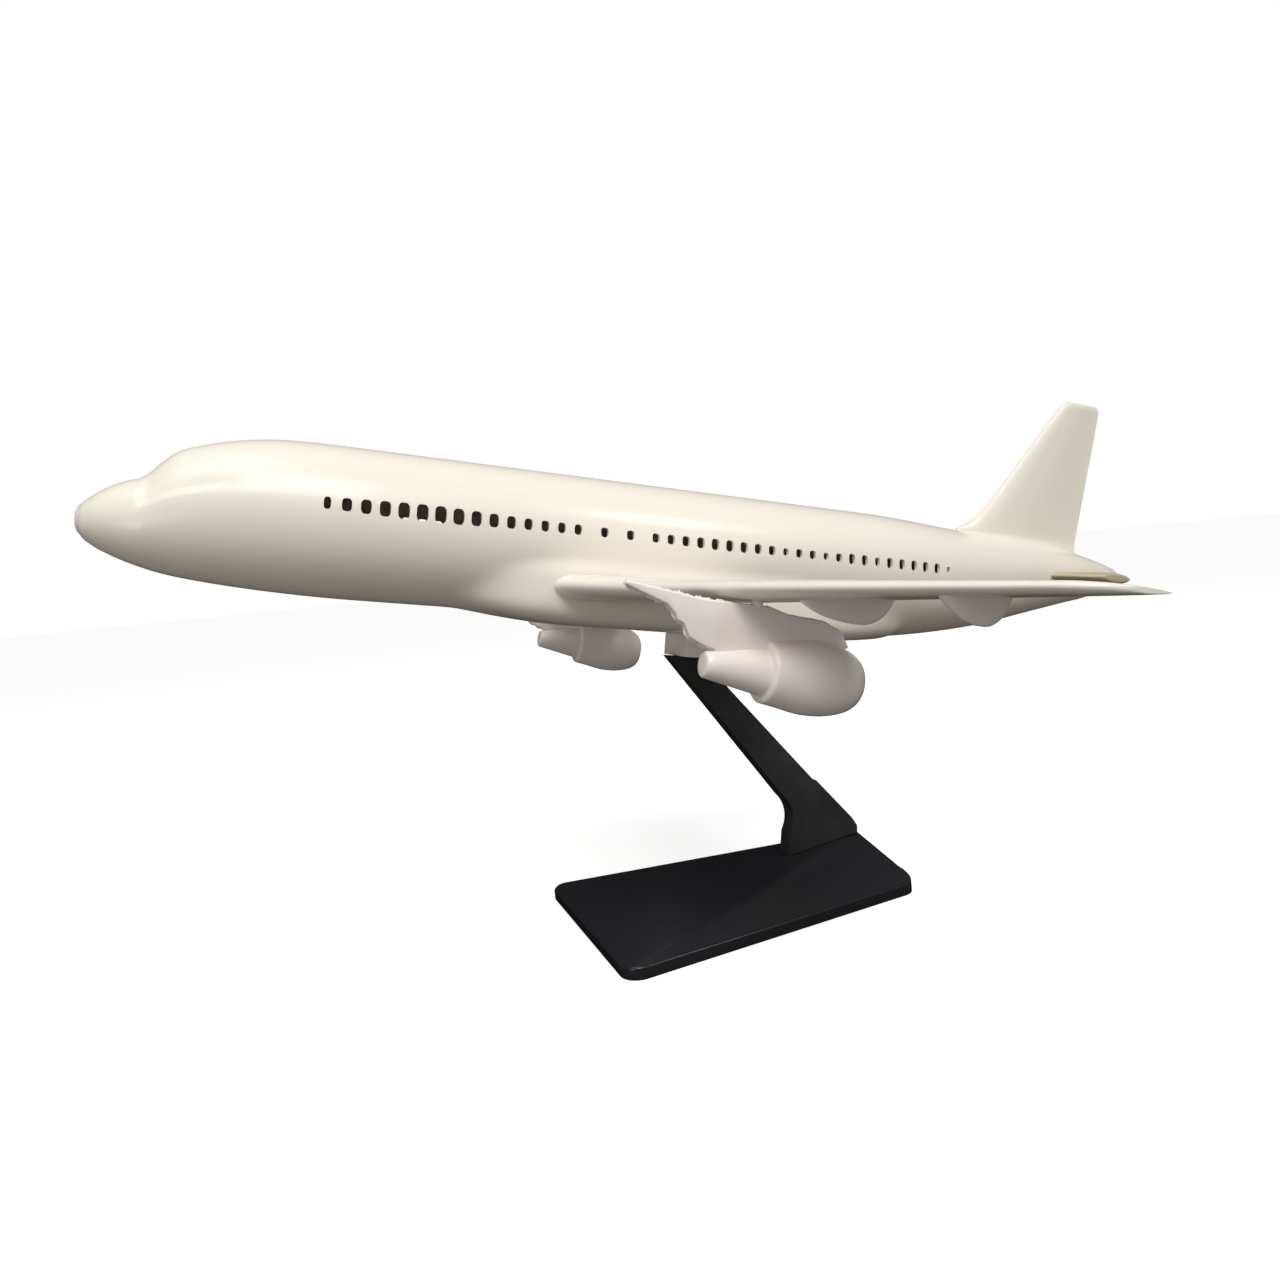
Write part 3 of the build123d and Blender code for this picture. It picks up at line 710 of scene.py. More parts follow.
@dataclass
class CabinWindows:
    """The punched window row: three groups that change size along the body."""

    level: float = 2.0
    pitch: float = 3.02
    first_x: float = 37.8
    gap: float = 4.97
    front_count: int = 15
    rear_count: int = 23
    punch_depth: float = 8.0
    punch_corner: float = 0.34

    def places(self) -> list[tuple[float, float, float]]:
        """Position, width and height of every window, nose to tail."""
        row: list[tuple[float, float, float]] = []
        x = self.first_x
        for i in range(self.front_count):
            swell = math.exp(-(((i - 5.5) / 4.2) ** 2))
            narrow = 0.75 if i == 0 else 1.0
            row.append((x, (1.38 + 0.6 * swell) * narrow, 1.8 + 1.12 * swell))
            x += self.pitch
        x += self.gap - self.pitch
        for _ in range(2):
            row.append((x, 1.45, 1.75))
            x += self.gap
        for i in range(self.rear_count):
            swell = math.exp(-(((i - 4.5) / 3.0) ** 2))
            slim = 0.82 if i in (9, 12, 16) else 1.0
            last = 0.6 if i == self.rear_count - 1 else 1.0
            tall = 2.1 if i > 13 else 1.65
            row.append((x, (1.42 + 0.2 * swell) * slim * last, (tall + 0.5 * swell) * slim * last))
            x += self.pitch
        return row

    def cutter_tree(self) -> bpy.types.NodeTree:
        """Geometry nodes that stand one rounded punch on each point, sized by its attribute."""
        tree = bpy.data.node_groups.new("window_punches", "GeometryNodeTree")
        tree.interface.new_socket("Geometry", in_out="INPUT", socket_type="NodeSocketGeometry")
        depth = tree.interface.new_socket("Punch depth", in_out="INPUT", socket_type="NodeSocketFloat")
        corner = tree.interface.new_socket("Corner", in_out="INPUT", socket_type="NodeSocketFloat")
        depth.default_value, corner.default_value = 0.008, 0.2
        tree.interface.new_socket("Geometry", in_out="OUTPUT", socket_type="NodeSocketGeometry")
        new, link = tree.nodes.new, tree.links.new
        ins, outs = new("NodeGroupInput"), new("NodeGroupOutput")
        outline = new("GeometryNodeCurvePrimitiveQuadrilateral")
        outline.inputs["Width"].default_value = 1.0
        outline.inputs["Height"].default_value = 1.0
        rounder = new("GeometryNodeFilletCurve")
        rounder.mode = "POLY"
        rounder.inputs["Count"].default_value = 4
        fill = new("GeometryNodeFillCurve")
        deepen = new("GeometryNodeExtrudeMesh")
        size = new("GeometryNodeInputNamedAttribute")
        size.data_type = "FLOAT_VECTOR"
        size.inputs["Name"].default_value = "punch_size"
        stand = new("GeometryNodeInstanceOnPoints")
        real = new("GeometryNodeRealizeInstances")
        paint = new("GeometryNodeSetMaterial")
        paint.inputs["Material"].default_value = Finish.SHELL.material
        merge = new("GeometryNodeMergeByDistance")
        back = new("GeometryNodeFlipFaces")
        both = new("GeometryNodeJoinGeometry")
        stand.inputs["Rotation"].default_value = (math.pi / 2, 0.0, 0.0)
        link(outline.outputs["Curve"], rounder.inputs["Curve"])
        link(ins.outputs["Corner"], rounder.inputs["Radius"])
        link(rounder.outputs["Curve"], fill.inputs["Curve"])
        link(fill.outputs["Mesh"], deepen.inputs["Mesh"])
        link(ins.outputs["Punch depth"], deepen.inputs["Offset Scale"])
        deepen.inputs["Individual"].default_value = False
        link(fill.outputs["Mesh"], back.inputs["Mesh"])
        link(back.outputs["Mesh"], both.inputs["Geometry"])
        link(deepen.outputs["Mesh"], both.inputs["Geometry"])
        link(both.outputs["Geometry"], merge.inputs["Geometry"])
        link(merge.outputs["Geometry"], stand.inputs["Instance"])
        link(ins.outputs["Geometry"], stand.inputs["Points"])
        link(size.outputs["Attribute"], stand.inputs["Scale"])
        link(stand.outputs["Instances"], real.inputs["Geometry"])
        link(real.outputs["Geometry"], paint.inputs["Geometry"])
        link(paint.outputs["Geometry"], outs.inputs["Geometry"])
        return tree

    def punches(self, radius: float) -> bpy.types.Object:
        """The row of punches for the port side.

        Args:
            radius: The body's radius.

        Returns:
            The punches as one plain object, level, in metres.
        """
        row = self.places()
        mesh = bpy.data.meshes.new("window_row")
        mesh.from_pydata([(x * MM, -(radius - 4.0) * MM, self.level * MM) for x, _, _ in row], [], [])
        size = mesh.attributes.new("punch_size", "FLOAT_VECTOR", "POINT")
        size.data.foreach_set("vector", [v for _, w, h in row for v in (w * MM, h * MM, 1.0)])
        carrier = bpy.data.objects.new("window_row", mesh)
        bpy.context.scene.collection.objects.link(carrier)
        modifier = carrier.modifiers.new("punches", "NODES")
        modifier.node_group = self.cutter_tree()
        set_inputs(modifier, {"Punch depth": self.punch_depth * MM, "Corner": self.punch_corner})
        return baked(carrier, "window_punches")


@dataclass
class Fin:
    """The tall tail fin, moulded in halves with the body."""

    root_z: float = 8.0
    tip_z: float = 46.05
    lead: list[tuple[float, float]] = field(default_factory=lambda: [
        (7.0, 168.0), (12.3, 171.6), (13.4, 174.0), (15.0, 176.7), (17.3, 179.3), (20.5, 182.3),
        (25.3, 185.9), (34.1, 192.4), (43.0, 199.1), (46.2, 201.6)])
    fillet_z: float = 12.9
    fillet_reach: float = 2.4
    trail: tuple[float, float] = (206.9, 212.5)
    thick: tuple[float, float] = (3.6, 1.7)

    def half_thickness(self, share: np.ndarray, height: np.ndarray) -> np.ndarray:
        """Half thickness of the fin.

        Args:
            share: Shares of the chord.
            height: Shares of the height.

        Returns:
            The half thickness at each place.
        """
        full = self.thick[0] + (self.thick[1] - self.thick[0]) * height
        nose = np.sqrt(np.clip(share / 0.22, 0, 1) * (2 - np.clip(share / 0.22, 0, 1)))
        tail = 1 - 0.72 * step_up(0.35, 1.05, share)
        return full / 2 * nose * tail


@dataclass
class Fuselage:
    """Both moulded halves of the body, each with its half of the fin, joined on the centre plane."""

    hull: Hull = field(default_factory=Hull)
    windows: CabinWindows = field(default_factory=CabinWindows)
    fin: Fin = field(default_factory=Fin)
    rings: int = 300
    spokes: int = 84
    seam_width: float = 0.12
    seam_depth: float = 0.05
    slots: list[tuple[Point, Point]] = field(default_factory=lambda: [
        ((83.92, -16.0, -9.28), (102.08, -7.0, -7.12)),
        ((196.92, -10.0, 2.92), (205.08, -2.6, 4.28)),
        ((106.9, -5.0, -20.0), (119.9, 1.0, -11.2)),
    ])

    def stations(self) -> np.ndarray:
        """Ring positions, closer together at the nose, the windows and the tail."""
        nose = 0.02 + 29.98 * (1 - np.cos(np.linspace(0, math.pi / 2, 80)))
        tube = np.linspace(30.6, 190.0, self.rings - 130)
        tail = 190.0 + 31.3 * np.sin(np.linspace(0.01, math.pi / 2, 50))
        return np.concatenate([nose, tube, tail])

    def half_skin(self) -> bpy.types.Object:
        """The port half as a closed moulded shell, before the windows are punched."""
        hull, mesh = self.hull, MeshBuilder()
        x = self.stations()
        angle = np.linspace(0, math.pi, self.spokes)
        outer = hull.skin(x, angle)
        from_seam = np.minimum(angle, math.pi - angle) * hull.radius
        groove = np.exp(-((from_seam / self.seam_width) ** 2)) * self.seam_depth
        centre = hull.middle(x)[0]
        away = outer - np.stack([x, 0 * x, centre], 1)[:, None, :]
        length = np.maximum(np.linalg.norm(away, axis=2, keepdims=True), 0.4)
        outer = outer - away / length * (groove[None, :, None] * (length > 2.0))
        inner_x = hull.cavity[0] + (x - x[0]) / (x[-1] - x[0]) * (hull.cavity[1] - hull.cavity[0])
        inner = hull.skin(inner_x, angle)
        mid = np.stack([inner_x, 0 * inner_x, hull.middle(inner_x)[0]], 1)[:, None, :]
        out = inner - mid
        reach = np.linalg.norm(out, axis=2, keepdims=True)
        bare = 1.0 / np.sqrt((np.sin(angle)[None, :] / hull.middle(inner_x)[2][:, None]) ** 2
                             + (np.cos(angle)[None, :] / hull.middle(inner_x)[1][:, None]) ** 2)
        inner = mid + out / reach * np.maximum(bare[..., None] - hull.wall, 0.3)
        a, b = mesh.grid(outer), mesh.grid(inner, flip=True)
        mesh.strip(a[:, 0], b[:, 0])
        mesh.strip(a[:, -1], b[:, -1])
        mesh.cap(a[-1])
        mesh.cap(a[0])
        mesh.cap(b[0])
        mesh.cap(b[-1])
        return mesh.build("half_skin", None, 40.0)

    def half_fin(self) -> bpy.types.Object:
        """The port half of the fin, flaring into the crown of the body."""
        fin, mesh = self.fin, MeshBuilder()
        share = 0.5 * (1 - np.cos(np.linspace(0, math.pi, 61)))
        heights = np.linspace(1.0, (fin.fillet_z - fin.root_z) / (fin.tip_z - fin.root_z), 44)
        rows = []
        for height in heights:
            z = fin.root_z + (fin.tip_z - fin.root_z) * height
            front = float(hermite(*zip(*fin.lead), np.array([z]))[0])
            rear = fin.trail[0] + (fin.trail[1] - fin.trail[0]) * height
            round_off = 1.0 - 0.5 * step_up(0.985, 1.0, np.array([height]))[0]
            crown = step_up(0.94, 1.0, np.array([height]))[0]
            front += 1.1 * crown**3
            rear -= 0.9 * crown**3
            x = front + (rear - front) * share
            y = fin.half_thickness(share, np.full_like(share, height)) * round_off
            rows.append(np.stack([x, -y, np.full_like(x, z)], 1))
        grid = np.stack(rows + self.root_fillet(rows[-1], share))
        index = mesh.grid(grid)
        flat = grid.copy()
        flat[:, :, 1] = 0.0
        seam = mesh.grid(flat, flip=True)
        mesh.strip(index[:, 0], seam[:, 0])
        mesh.strip(index[:, -1], seam[:, -1])
        mesh.strip(index[0, :], seam[0, :])
        mesh.strip(index[-1, :], seam[-1, :])
        return mesh.build("half_fin", None, 50.0)

    def root_fillet(self, start: np.ndarray, share: np.ndarray) -> list[np.ndarray]:
        """Rows that turn the fin's side outward until it lies on the body, tangent at both ends.

        Args:
            start: The fin's lowest row of points.
            share: Each point's share of the chord.

        Returns:
            The rows from the fin down to the body, and one sunk below its skin.
        """
        rows = []
        x, side = start[:, 0], -start[:, 1]
        centre, half_h, half_w = self.hull.middle(x)
        spread = self.fin.fillet_reach * step_up(0.0, 0.3, share) * (1 - 0.6 * step_up(0.75, 1.0, share))
        land = side + 0.1 + spread
        slope_y = np.clip(land / half_w, 0, 0.98)
        on_body = centre + half_h * np.sqrt(1 - slope_y**2)
        fall = -half_h / half_w * slope_y / np.sqrt(1 - slope_y**2)
        knee = on_body + fall * (side - land)
        for t in np.linspace(0.12, 1.0, 9):
            y = (1 - t) ** 2 * side + 2 * t * (1 - t) * side + t**2 * land
            z = (1 - t) ** 2 * start[:, 2] + 2 * t * (1 - t) * knee + t**2 * (on_body - 0.04)
            rows.append(np.stack([x, -y, z], 1))
        sunk = rows[-1].copy()
        sunk[:, 2] -= 1.2
        rows.append(sunk)
        return rows

    def mark_inner_wall(self, mesh: bpy.types.Mesh, points: np.ndarray) -> None:
        """Mark the hollow's wall with an attribute, for a finish that paints a glow on it.

        Args:
            mesh: The half's mesh.
            points: Its vertices in airframe millimetres.
        """
        centre, half_h, half_w = self.hull.middle(points[:, 0])
        depth = np.hypot(points[:, 1] / half_w, (points[:, 2] - centre) / half_h)
        inner = (depth < 1 - 0.5 * self.hull.wall / half_w) & (points[:, 0] > 20) & (points[:, 0] < 190)
        mark = mesh.attributes.new("inner_wall", "FLOAT", "POINT")
        mark.data.foreach_set("value", inner.astype(np.float32))

    def build(self) -> None:
        """Mould, punch and dress both halves."""
        slots = MeshBuilder()
        for low, high in self.slots:
            box_mesh(slots, low, high)
        skin = cut(self.half_skin(), slots.build("tab_slots"), "fuselage_slotted", 40.0)
        skin = cut(skin, self.windows.punches(self.hull.radius), "fuselage_port", 40.0)
        half = joined("fuselage_left_moulding", [skin, self.half_fin()])
        other = half.copy()
        bpy.context.scene.collection.objects.link(other)
        for side, piece in ((Side.PORT, half), (Side.STARBOARD, other)):
            mesh = piece.data
            points = read_points(mesh)
            if side is Side.PORT:
                self.mark_inner_wall(mesh, points)
                other.data = mesh.copy()
            points[:, 1] *= -side.value
            mesh.vertices.foreach_set("co", (ATTITUDE.place(points) * MM).ravel())
            if side is Side.STARBOARD:
                mesh.flip_normals()
            mesh.update()
            piece.name = f"fuselage_{side.suffix}_moulding"
            mesh.name = piece.name
            dress(piece, Finish.SHELL, "airframe", [f"fuselage_{side.suffix}"])


# ------------------------------------------------------------------ wings and what hangs on them
def side_place(side: Side) -> Callable[[np.ndarray], np.ndarray]:
    """Placing for a piece drawn on the port side: mirrored if need be, then pitched."""
    return lambda points: ATTITUDE.place(points * np.array([1.0, -side.value, 1.0]))


def cylinder_cutter(centre: tuple[float, float, float], radius: float, height: float) -> MeshBuilder:
    """An upright round cutter, drawn in airframe millimetres.

    Args:
        centre: Its middle.
        radius: Its radius.
        height: Its full height.

    Returns:
        The closed cutter, not yet an object.
    """
    mesh = MeshBuilder()
    turn = np.linspace(0, 2 * math.pi, 48, endpoint=False)
    ring = np.stack([centre[0] + radius * np.cos(turn), centre[1] + radius * np.sin(turn)], 1)
    low = np.column_stack([ring, np.full(48, centre[2] - height / 2)])
    high = np.column_stack([ring, np.full(48, centre[2] + height / 2)])
    index = mesh.grid(np.stack([low, high]), wrap=True)
    mesh.cap(index[0])
    mesh.cap(index[1])
    return mesh


def box_mesh(mesh: MeshBuilder, low: tuple[float, float, float], high: tuple[float, float, float]) -> None:
    """Add a plain box to a mesh, for tabs and cutters.

    Args:
        mesh: The mesh to add to.
        low: The box's lowest corner.
        high: The box's highest corner.
    """
    x, y, z = zip(low, high)
    first = mesh.add_points(np.array([(x[i], y[j], z[k]) for i in (0, 1) for j in (0, 1) for k in (0, 1)]))
    for face in ((0, 1, 3, 2), (4, 6, 7, 5), (0, 4, 5, 1), (2, 3, 7, 6), (0, 2, 6, 4), (1, 5, 7, 3)):
        mesh.faces.append(tuple(first + i for i in face))


def cut(piece: bpy.types.Object, cutter: bpy.types.Object, name: str,
        sharp_deg: float = 35.0) -> bpy.types.Object:
    """Take a cutter out of a piece.

    Args:
        piece: The piece to cut.
        cutter: What to take out; it is removed afterwards.
        name: The result's name.
        sharp_deg: Edges turning by more than this stay sharp.

    Returns:
        The plain cut piece.
    """
    modifier = piece.modifiers.new("cut", "BOOLEAN")
    modifier.operation, modifier.object, modifier.solver = "DIFFERENCE", cutter, "EXACT"
    made = baked(piece, name, sharp_deg)
    bpy.data.objects.remove(cutter)
    return made


def softened(piece: bpy.types.Object, name: str, width_mm: float, segments: int = 3,
             angle_deg: float = 30.0) -> bpy.types.Object:
    """Round every real edge of a piece by a moulded radius.

    Args:
        piece: The piece to soften.
        name: The result's name.
        width_mm: How wide the rounding is.
        segments: How many steps it has.
        angle_deg: Edges turning by less than this are left.

    Returns:
        The plain softened piece.
    """
    modifier = piece.modifiers.new("edges", "BEVEL")
    modifier.width, modifier.segments = width_mm * MM, segments
    modifier.limit_method, modifier.angle_limit = "ANGLE", math.radians(angle_deg)
    modifier.use_clamp_overlap = True
    return baked(piece, name, 40.0)


@dataclass
class Wing:
    """One wing: thick rounded root, thin swept tip, a tab into the body and a hole for the engine's peg."""

    side: Side
    sections: list[tuple[float, float, float, float, float]] = field(default_factory=lambda: [
        (14.15, 76.2, 33.8, 4.6, -8.2), (38.0, 87.1, 24.9, 3.3, -8.2), (96.0, 113.8, 10.2, 1.4, -6.6)])
    tip_round: float = 5.0
    nose_share: float = 0.16
    tab: tuple[float, float, float, float] = (84.0, 102.0, 7.5, -8.2)
    tab_thickness: float = 2.0
    peg_hole: tuple[float, float, float] = (98.0, 48.7, 0.98)

    def section(self, y: np.ndarray) -> tuple[np.ndarray, np.ndarray, np.ndarray, np.ndarray]:
        """Leading edge, chord, thickness and mid height at each span station."""
        ys, lead, chord, thick, mid = (list(c) for c in zip(*self.sections))
        return tuple(np.interp(y, ys, column) for column in (lead, chord, thick, mid))

    def half_thickness(self, share: np.ndarray) -> np.ndarray:
        """Half thickness, as a share of the full thickness, at a share of the chord."""
        nose = np.clip(share / self.nose_share, 0, 1)
        tail = np.clip((share - 0.3) / 0.7, 0, 1)
        return 0.5 * np.sqrt(nose * (2 - nose)) * (1 - tail**1.25) + 0.09 * tail

    def build(self) -> None:
        """Mould the wing and dress it."""
        mesh = MeshBuilder()
        root, tip = self.sections[0][0], self.sections[-1][0]
        y = np.concatenate([np.linspace(root, tip - self.tip_round, 56),
                            tip - self.tip_round * (1 - np.sin(np.linspace(0.08, math.pi / 2, 14)))])
        lead, chord, thick, mid = self.section(y)
        past = np.clip((y - (tip - self.tip_round)) / self.tip_round, 0, 1)
        curl = 1 - np.sqrt(np.clip(1 - past**2, 0.0, 1))
        lead, chord = lead + 4.8 * curl, chord - 5.2 * curl
        thick = thick * (1 - 0.55 * curl)
        turn = np.linspace(0, math.pi, 42)
        share = 0.5 * (1 - np.cos(turn))
        half = self.half_thickness(share)
        upper = np.stack([lead[:, None] + chord[:, None] * share, np.broadcast_to(-y[:, None], (len(y), 42)),
                          mid[:, None] + thick[:, None] * half], -1)
        lower = upper.copy()
        lower[:, :, 2] = mid[:, None] - thick[:, None] * half
        loop = np.concatenate([upper, lower[:, -2:0:-1]], axis=1)
        index = mesh.grid(loop, wrap=True)
        mesh.cap(index[0])
        mesh.cap(index[-1])
        wing = mesh.build(f"wing_{self.side.suffix}_skin", side_place(self.side), 30.0)
        x, span, radius = self.peg_hole
        hole = cylinder_cutter((x, -span, -9.4), radius, 4.0)
        wing = cut(wing, hole.build("peg_hole", side_place(self.side)), "wing_skin", 30.0)
        tab = MeshBuilder()
        x0, x1, inner, z = self.tab
        box_mesh(tab, (x0, -root - 0.6, z - self.tab_thickness / 2), (x1, -inner, z + self.tab_thickness / 2))
        tab_piece = softened(tab.build("wing_tab", side_place(self.side)), "wing_tab", 0.25, 2)
        wing = joined(f"wing_{self.side.suffix}_moulding", [wing, tab_piece])
        dress(wing, Finish.WING, self.side_body("wing"), [f"wing_{self.side.suffix}"])

    def side_body(self, kind: str) -> str:
        """The body that this side's wing rides on."""
        return f"{self.side.name.lower()}_{kind}"


@dataclass
class TrackFairing:
    """A canoe-shaped flap track fairing under the trailing edge."""

    side: Side
    name: str
    span_y: float
    front_x: float
    rear_x: float
    deep_z: float
    seat_z: float
    half_width: float = 1.2

    def build(self) -> None:
        """Mould the canoe and dress it."""
        mesh = MeshBuilder()
        length = self.rear_x - self.front_x
        t = 0.5 * (1 - np.cos(np.linspace(0.06, math.pi - 0.1, 46)))
        keel = hermite([0.0, 0.14, 0.45, 0.68, 0.82, 0.92, 1.0],
                       [self.seat_z - 0.8, self.seat_z - 2.1, self.deep_z + 0.3, self.deep_z,
                        self.deep_z + 0.5, self.deep_z + 1.6, self.seat_z - 0.3], t)
        width = self.half_width * np.sqrt(np.clip(1 - ((t - 0.56) / 0.6) ** 4, 0.02, 1))
        sweep = np.linspace(-math.pi / 2, math.pi / 2, 25)
        flat = np.sign(np.sin(sweep)) * np.abs(np.sin(sweep)) ** 0.75
        deep = np.cos(sweep) ** 0.75
        top = self.seat_z + 0.3
        x = np.broadcast_to((self.front_x + length * t)[:, None], (len(t), 25))
        hull = np.stack([x, -self.span_y + width[:, None] * flat, top + (keel - top)[:, None] * deep], -1)
        index = mesh.grid(hull)
        mesh.cap(index[0])
        mesh.cap(index[-1])
        mesh.strip(index[:, 0], index[:, -1])
        piece = mesh.build(f"track_{self.name}_{self.side.suffix}_moulding", side_place(self.side), 45.0)
        dress(piece, Finish.PODS, f"{self.side.name.lower()}_wing", [f"track_{self.name}_{self.side.suffix}"])


@dataclass
class Engine:
    """One engine: nacelle, exhaust cone, fan, pylon plate with moulding flash, and its peg."""

    side: Side
    span_y: float = 48.7
    start: tuple[float, float] = (89.9, -19.2)
    tilt_deg: float = 3.7
    cone: tuple[float, float, float] = (1.95, 3.65, 9.75)
    cowl: list[tuple[float, float]] = field(default_factory=lambda: [
        (10.0, 4.72), (13.2, 5.2), (15.4, 5.6), (17.5, 5.8), (19.5, 5.76), (21.5, 5.5), (23.2, 5.08),
        (24.4, 4.6),
        (25.2, 4.05)])
    lip: list[tuple[float, float]] = field(default_factory=lambda: [
        (25.62, 3.6), (25.8, 3.25), (25.74, 2.96), (25.45, 2.76), (24.8, 2.7), (22.8, 2.7)])
    fan_x: float = 22.8
    fan_radius: float = 2.7
    hub_radius: float = 0.95
    blades: int = 18
    pylon_thickness: float = 1.7
    pylon: list[tuple[float, float]] = field(default_factory=lambda: [
        (77.2, -8.0), (83.0, -8.85), (89.0, -9.75), (100.0, -10.1), (103.0, -11.0), (109.4, -11.6),
        (112.4, -12.9), (114.0, -15.4), (108.0, -18.0), (92.0, -18.0), (91.4, -16.9), (89.2, -16.4),
        (87.2, -15.4), (86.2, -13.5),
        (85.2, -13.1), (84.8, -12.2), (83.4, -10.9), (79.4, -9.5), (77.0, -8.6)])
    peg: tuple[float, float, float, float] = (98.0, 0.9, -11.0, -7.6)

    def to_airframe(self, points: np.ndarray) -> np.ndarray:
        """Engine axis millimetres, x aft along the axis, to the port side of the airframe."""
        c, s = math.cos(math.radians(self.tilt_deg)), math.sin(math.radians(self.tilt_deg))
        x, y, z = points[..., 0], points[..., 1], points[..., 2]
        return np.stack([self.start[0] + c * x + s * z, y - self.span_y, self.start[1] - s * x + c * z], -1)

    def place(self, points: np.ndarray) -> np.ndarray:
        """Engine axis millimetres to the shared frame's millimetres."""
        return side_place(self.side)(self.to_airframe(points))

    def lathe(self) -> bpy.types.Object:
        """Cone, step, cowl, lip and intake wall turned on the engine's axis."""
        tip, base, length = self.cone
        profile = [(0.0, 0.0), (0.0, 0.8), (0.0, tip - 0.3), (0.08, tip - 0.1), (0.25, tip + 0.02)]
        profile += [(x, tip + (base - tip) * x / length) for x in np.linspace(1.0, length - 0.4, 8)]
        profile += [(length - 0.1, base + 0.03), (length, base + 0.2), (length, 4.3), (length + 0.08, 4.58)]
        xs, rs = zip(*self.cowl)
        along = np.linspace(xs[0], xs[-1], 30)
        profile += list(zip(along, hermite(xs, rs, along))) + self.lip
        profile += [(self.fan_x, 1.2), (self.fan_x, 0.0)]
        line = np.array(profile)
        turn = np.linspace(0, 2 * math.pi, 72, endpoint=False)
        wobble = 1 + 0.006 * np.sin(2 * turn + 0.6) + 0.003 * np.sin(5 * turn)
        ring = line[:, 1][:, None] * wobble
        mesh = MeshBuilder()
        mesh.grid(np.stack([np.broadcast_to(line[:, 0][:, None], ring.shape), ring * np.sin(turn),
                            ring * np.cos(turn)], -1), wrap=True)
        return mesh.build("nacelle", self.place, 38.0)

    def fan_tree(self) -> bpy.types.NodeTree:
        """Geometry nodes that set one twisted blade on each point of a circle."""
        tree = bpy.data.node_groups.new("fan_blades", "GeometryNodeTree")
        tree.interface.new_socket("Geometry", in_out="INPUT", socket_type="NodeSocketGeometry")
        count = tree.interface.new_socket("Blades", in_out="INPUT", socket_type="NodeSocketInt")
        reach = tree.interface.new_socket("Radius", in_out="INPUT", socket_type="NodeSocketFloat")
        count.default_value, reach.default_value = 18, 0.0022
        tree.interface.new_socket("Geometry", in_out="OUTPUT", socket_type="NodeSocketGeometry")
        new, link = tree.nodes.new, tree.links.new
        ins, outs = new("NodeGroupInput"), new("NodeGroupOutput")
        circle = new("GeometryNodeMeshCircle")
        align = new("FunctionNodeAlignRotationToVector")
        position = new("GeometryNodeInputPosition")
        stand, real = new("GeometryNodeInstanceOnPoints"), new("GeometryNodeRealizeInstances")
        paint = new("GeometryNodeSetMaterial")
        paint.inputs["Material"].default_value = Finish.PODS.material
        align.axis = "Y"
        link(ins.outputs["Blades"], circle.inputs["Vertices"])
        link(ins.outputs["Radius"], circle.inputs["Radius"])
        link(circle.outputs["Mesh"], stand.inputs["Points"])
        link(ins.outputs["Geometry"], stand.inputs["Instance"])
        link(position.outputs["Position"], align.inputs["Vector"])
        link(align.outputs["Rotation"], stand.inputs["Rotation"])
        link(stand.outputs["Instances"], real.inputs["Geometry"])
        link(real.outputs["Geometry"], paint.inputs["Geometry"])
        link(paint.outputs["Geometry"], outs.inputs["Geometry"])
        return tree

    def fan(self) -> bpy.types.Object:
        """The fan face: a spinner and a ring of twisted blades in shallow relief."""
        blade = MeshBuilder()
        span = (self.fan_radius - 1.0) / 2
        rows = []
        for share in np.linspace(0.0, 1.0, 7):
            o = (2 * share - 1) * span
            twist = math.radians(38 + 14 * share)
            wide = 0.25 + 0.1 * share
            pair = [(s * wide * math.cos(twist) + t * 0.07 * math.sin(twist), o,
                     s * wide * math.sin(twist) - t * 0.07 * math.cos(twist))
                    for s, t in ((-1, 0), (-0.6, 1), (0.6, 1), (1, 0), (0.6, -1), (-0.6, -1))]
            rows.append(pair)
        index = blade.grid(np.array(rows), wrap=True)
        blade.cap(index[0])
        blade.cap(index[-1])
        carrier = blade.build("fan_ring")
        modifier = carrier.modifiers.new("blades", "NODES")
        modifier.node_group = self.fan_tree()
        set_inputs(modifier, {"Blades": self.blades, "Radius": (self.fan_radius + self.hub_radius) / 2 * MM})
        ring = baked(carrier, "fan_ring")
        local = read_points(ring.data)
        turned = np.stack([self.fan_x + 0.34 + 0.9 * local[:, 2], local[:, 0], local[:, 1]], 1)
        ring.data.vertices.foreach_set("co", (self.place(turned) * MM).ravel())
        finished = finish_mesh(ring.data, "fan_blades", 30.0)
        bpy.data.objects.remove(ring)
        spinner = MeshBuilder()
        t = np.linspace(0, 1, 12)
        turn = np.linspace(0, 2 * math.pi, 36, endpoint=False)
        radius = 1.05 * np.sqrt(1 - (0.985 * t) ** 2)
        x = self.fan_x + 0.1 + 1.3 * t
        spinner.grid(np.stack([np.broadcast_to(x[:, None], (12, 36)), radius[:, None] * np.sin(turn),
                               radius[:, None] * np.cos(turn)], -1), wrap=True)
        spinner.cap(list(range(36)))
        spinner.cap(list(range(11 * 36, 12 * 36)))
        return joined("fan", [finished, spinner.build("spinner", self.place, 50.0)])

    def pylon_plate(self) -> bpy.types.Object:
        """The flat pylon plate with soft edges."""
        mesh = MeshBuilder()
        outline = np.array(self.pylon)
        near = np.column_stack([outline[:, 0], np.full(len(outline), -self.span_y - self.pylon_thickness / 2),
                                outline[:, 1]])
        far = near + np.array([0, self.pylon_thickness, 0])
        index = mesh.grid(np.stack([near, far]), wrap=True)
        mesh.cap(index[0])
        mesh.cap(index[1])
        return softened(mesh.build("pylon", side_place(self.side)), "pylon", 0.28, 3, 25.0)

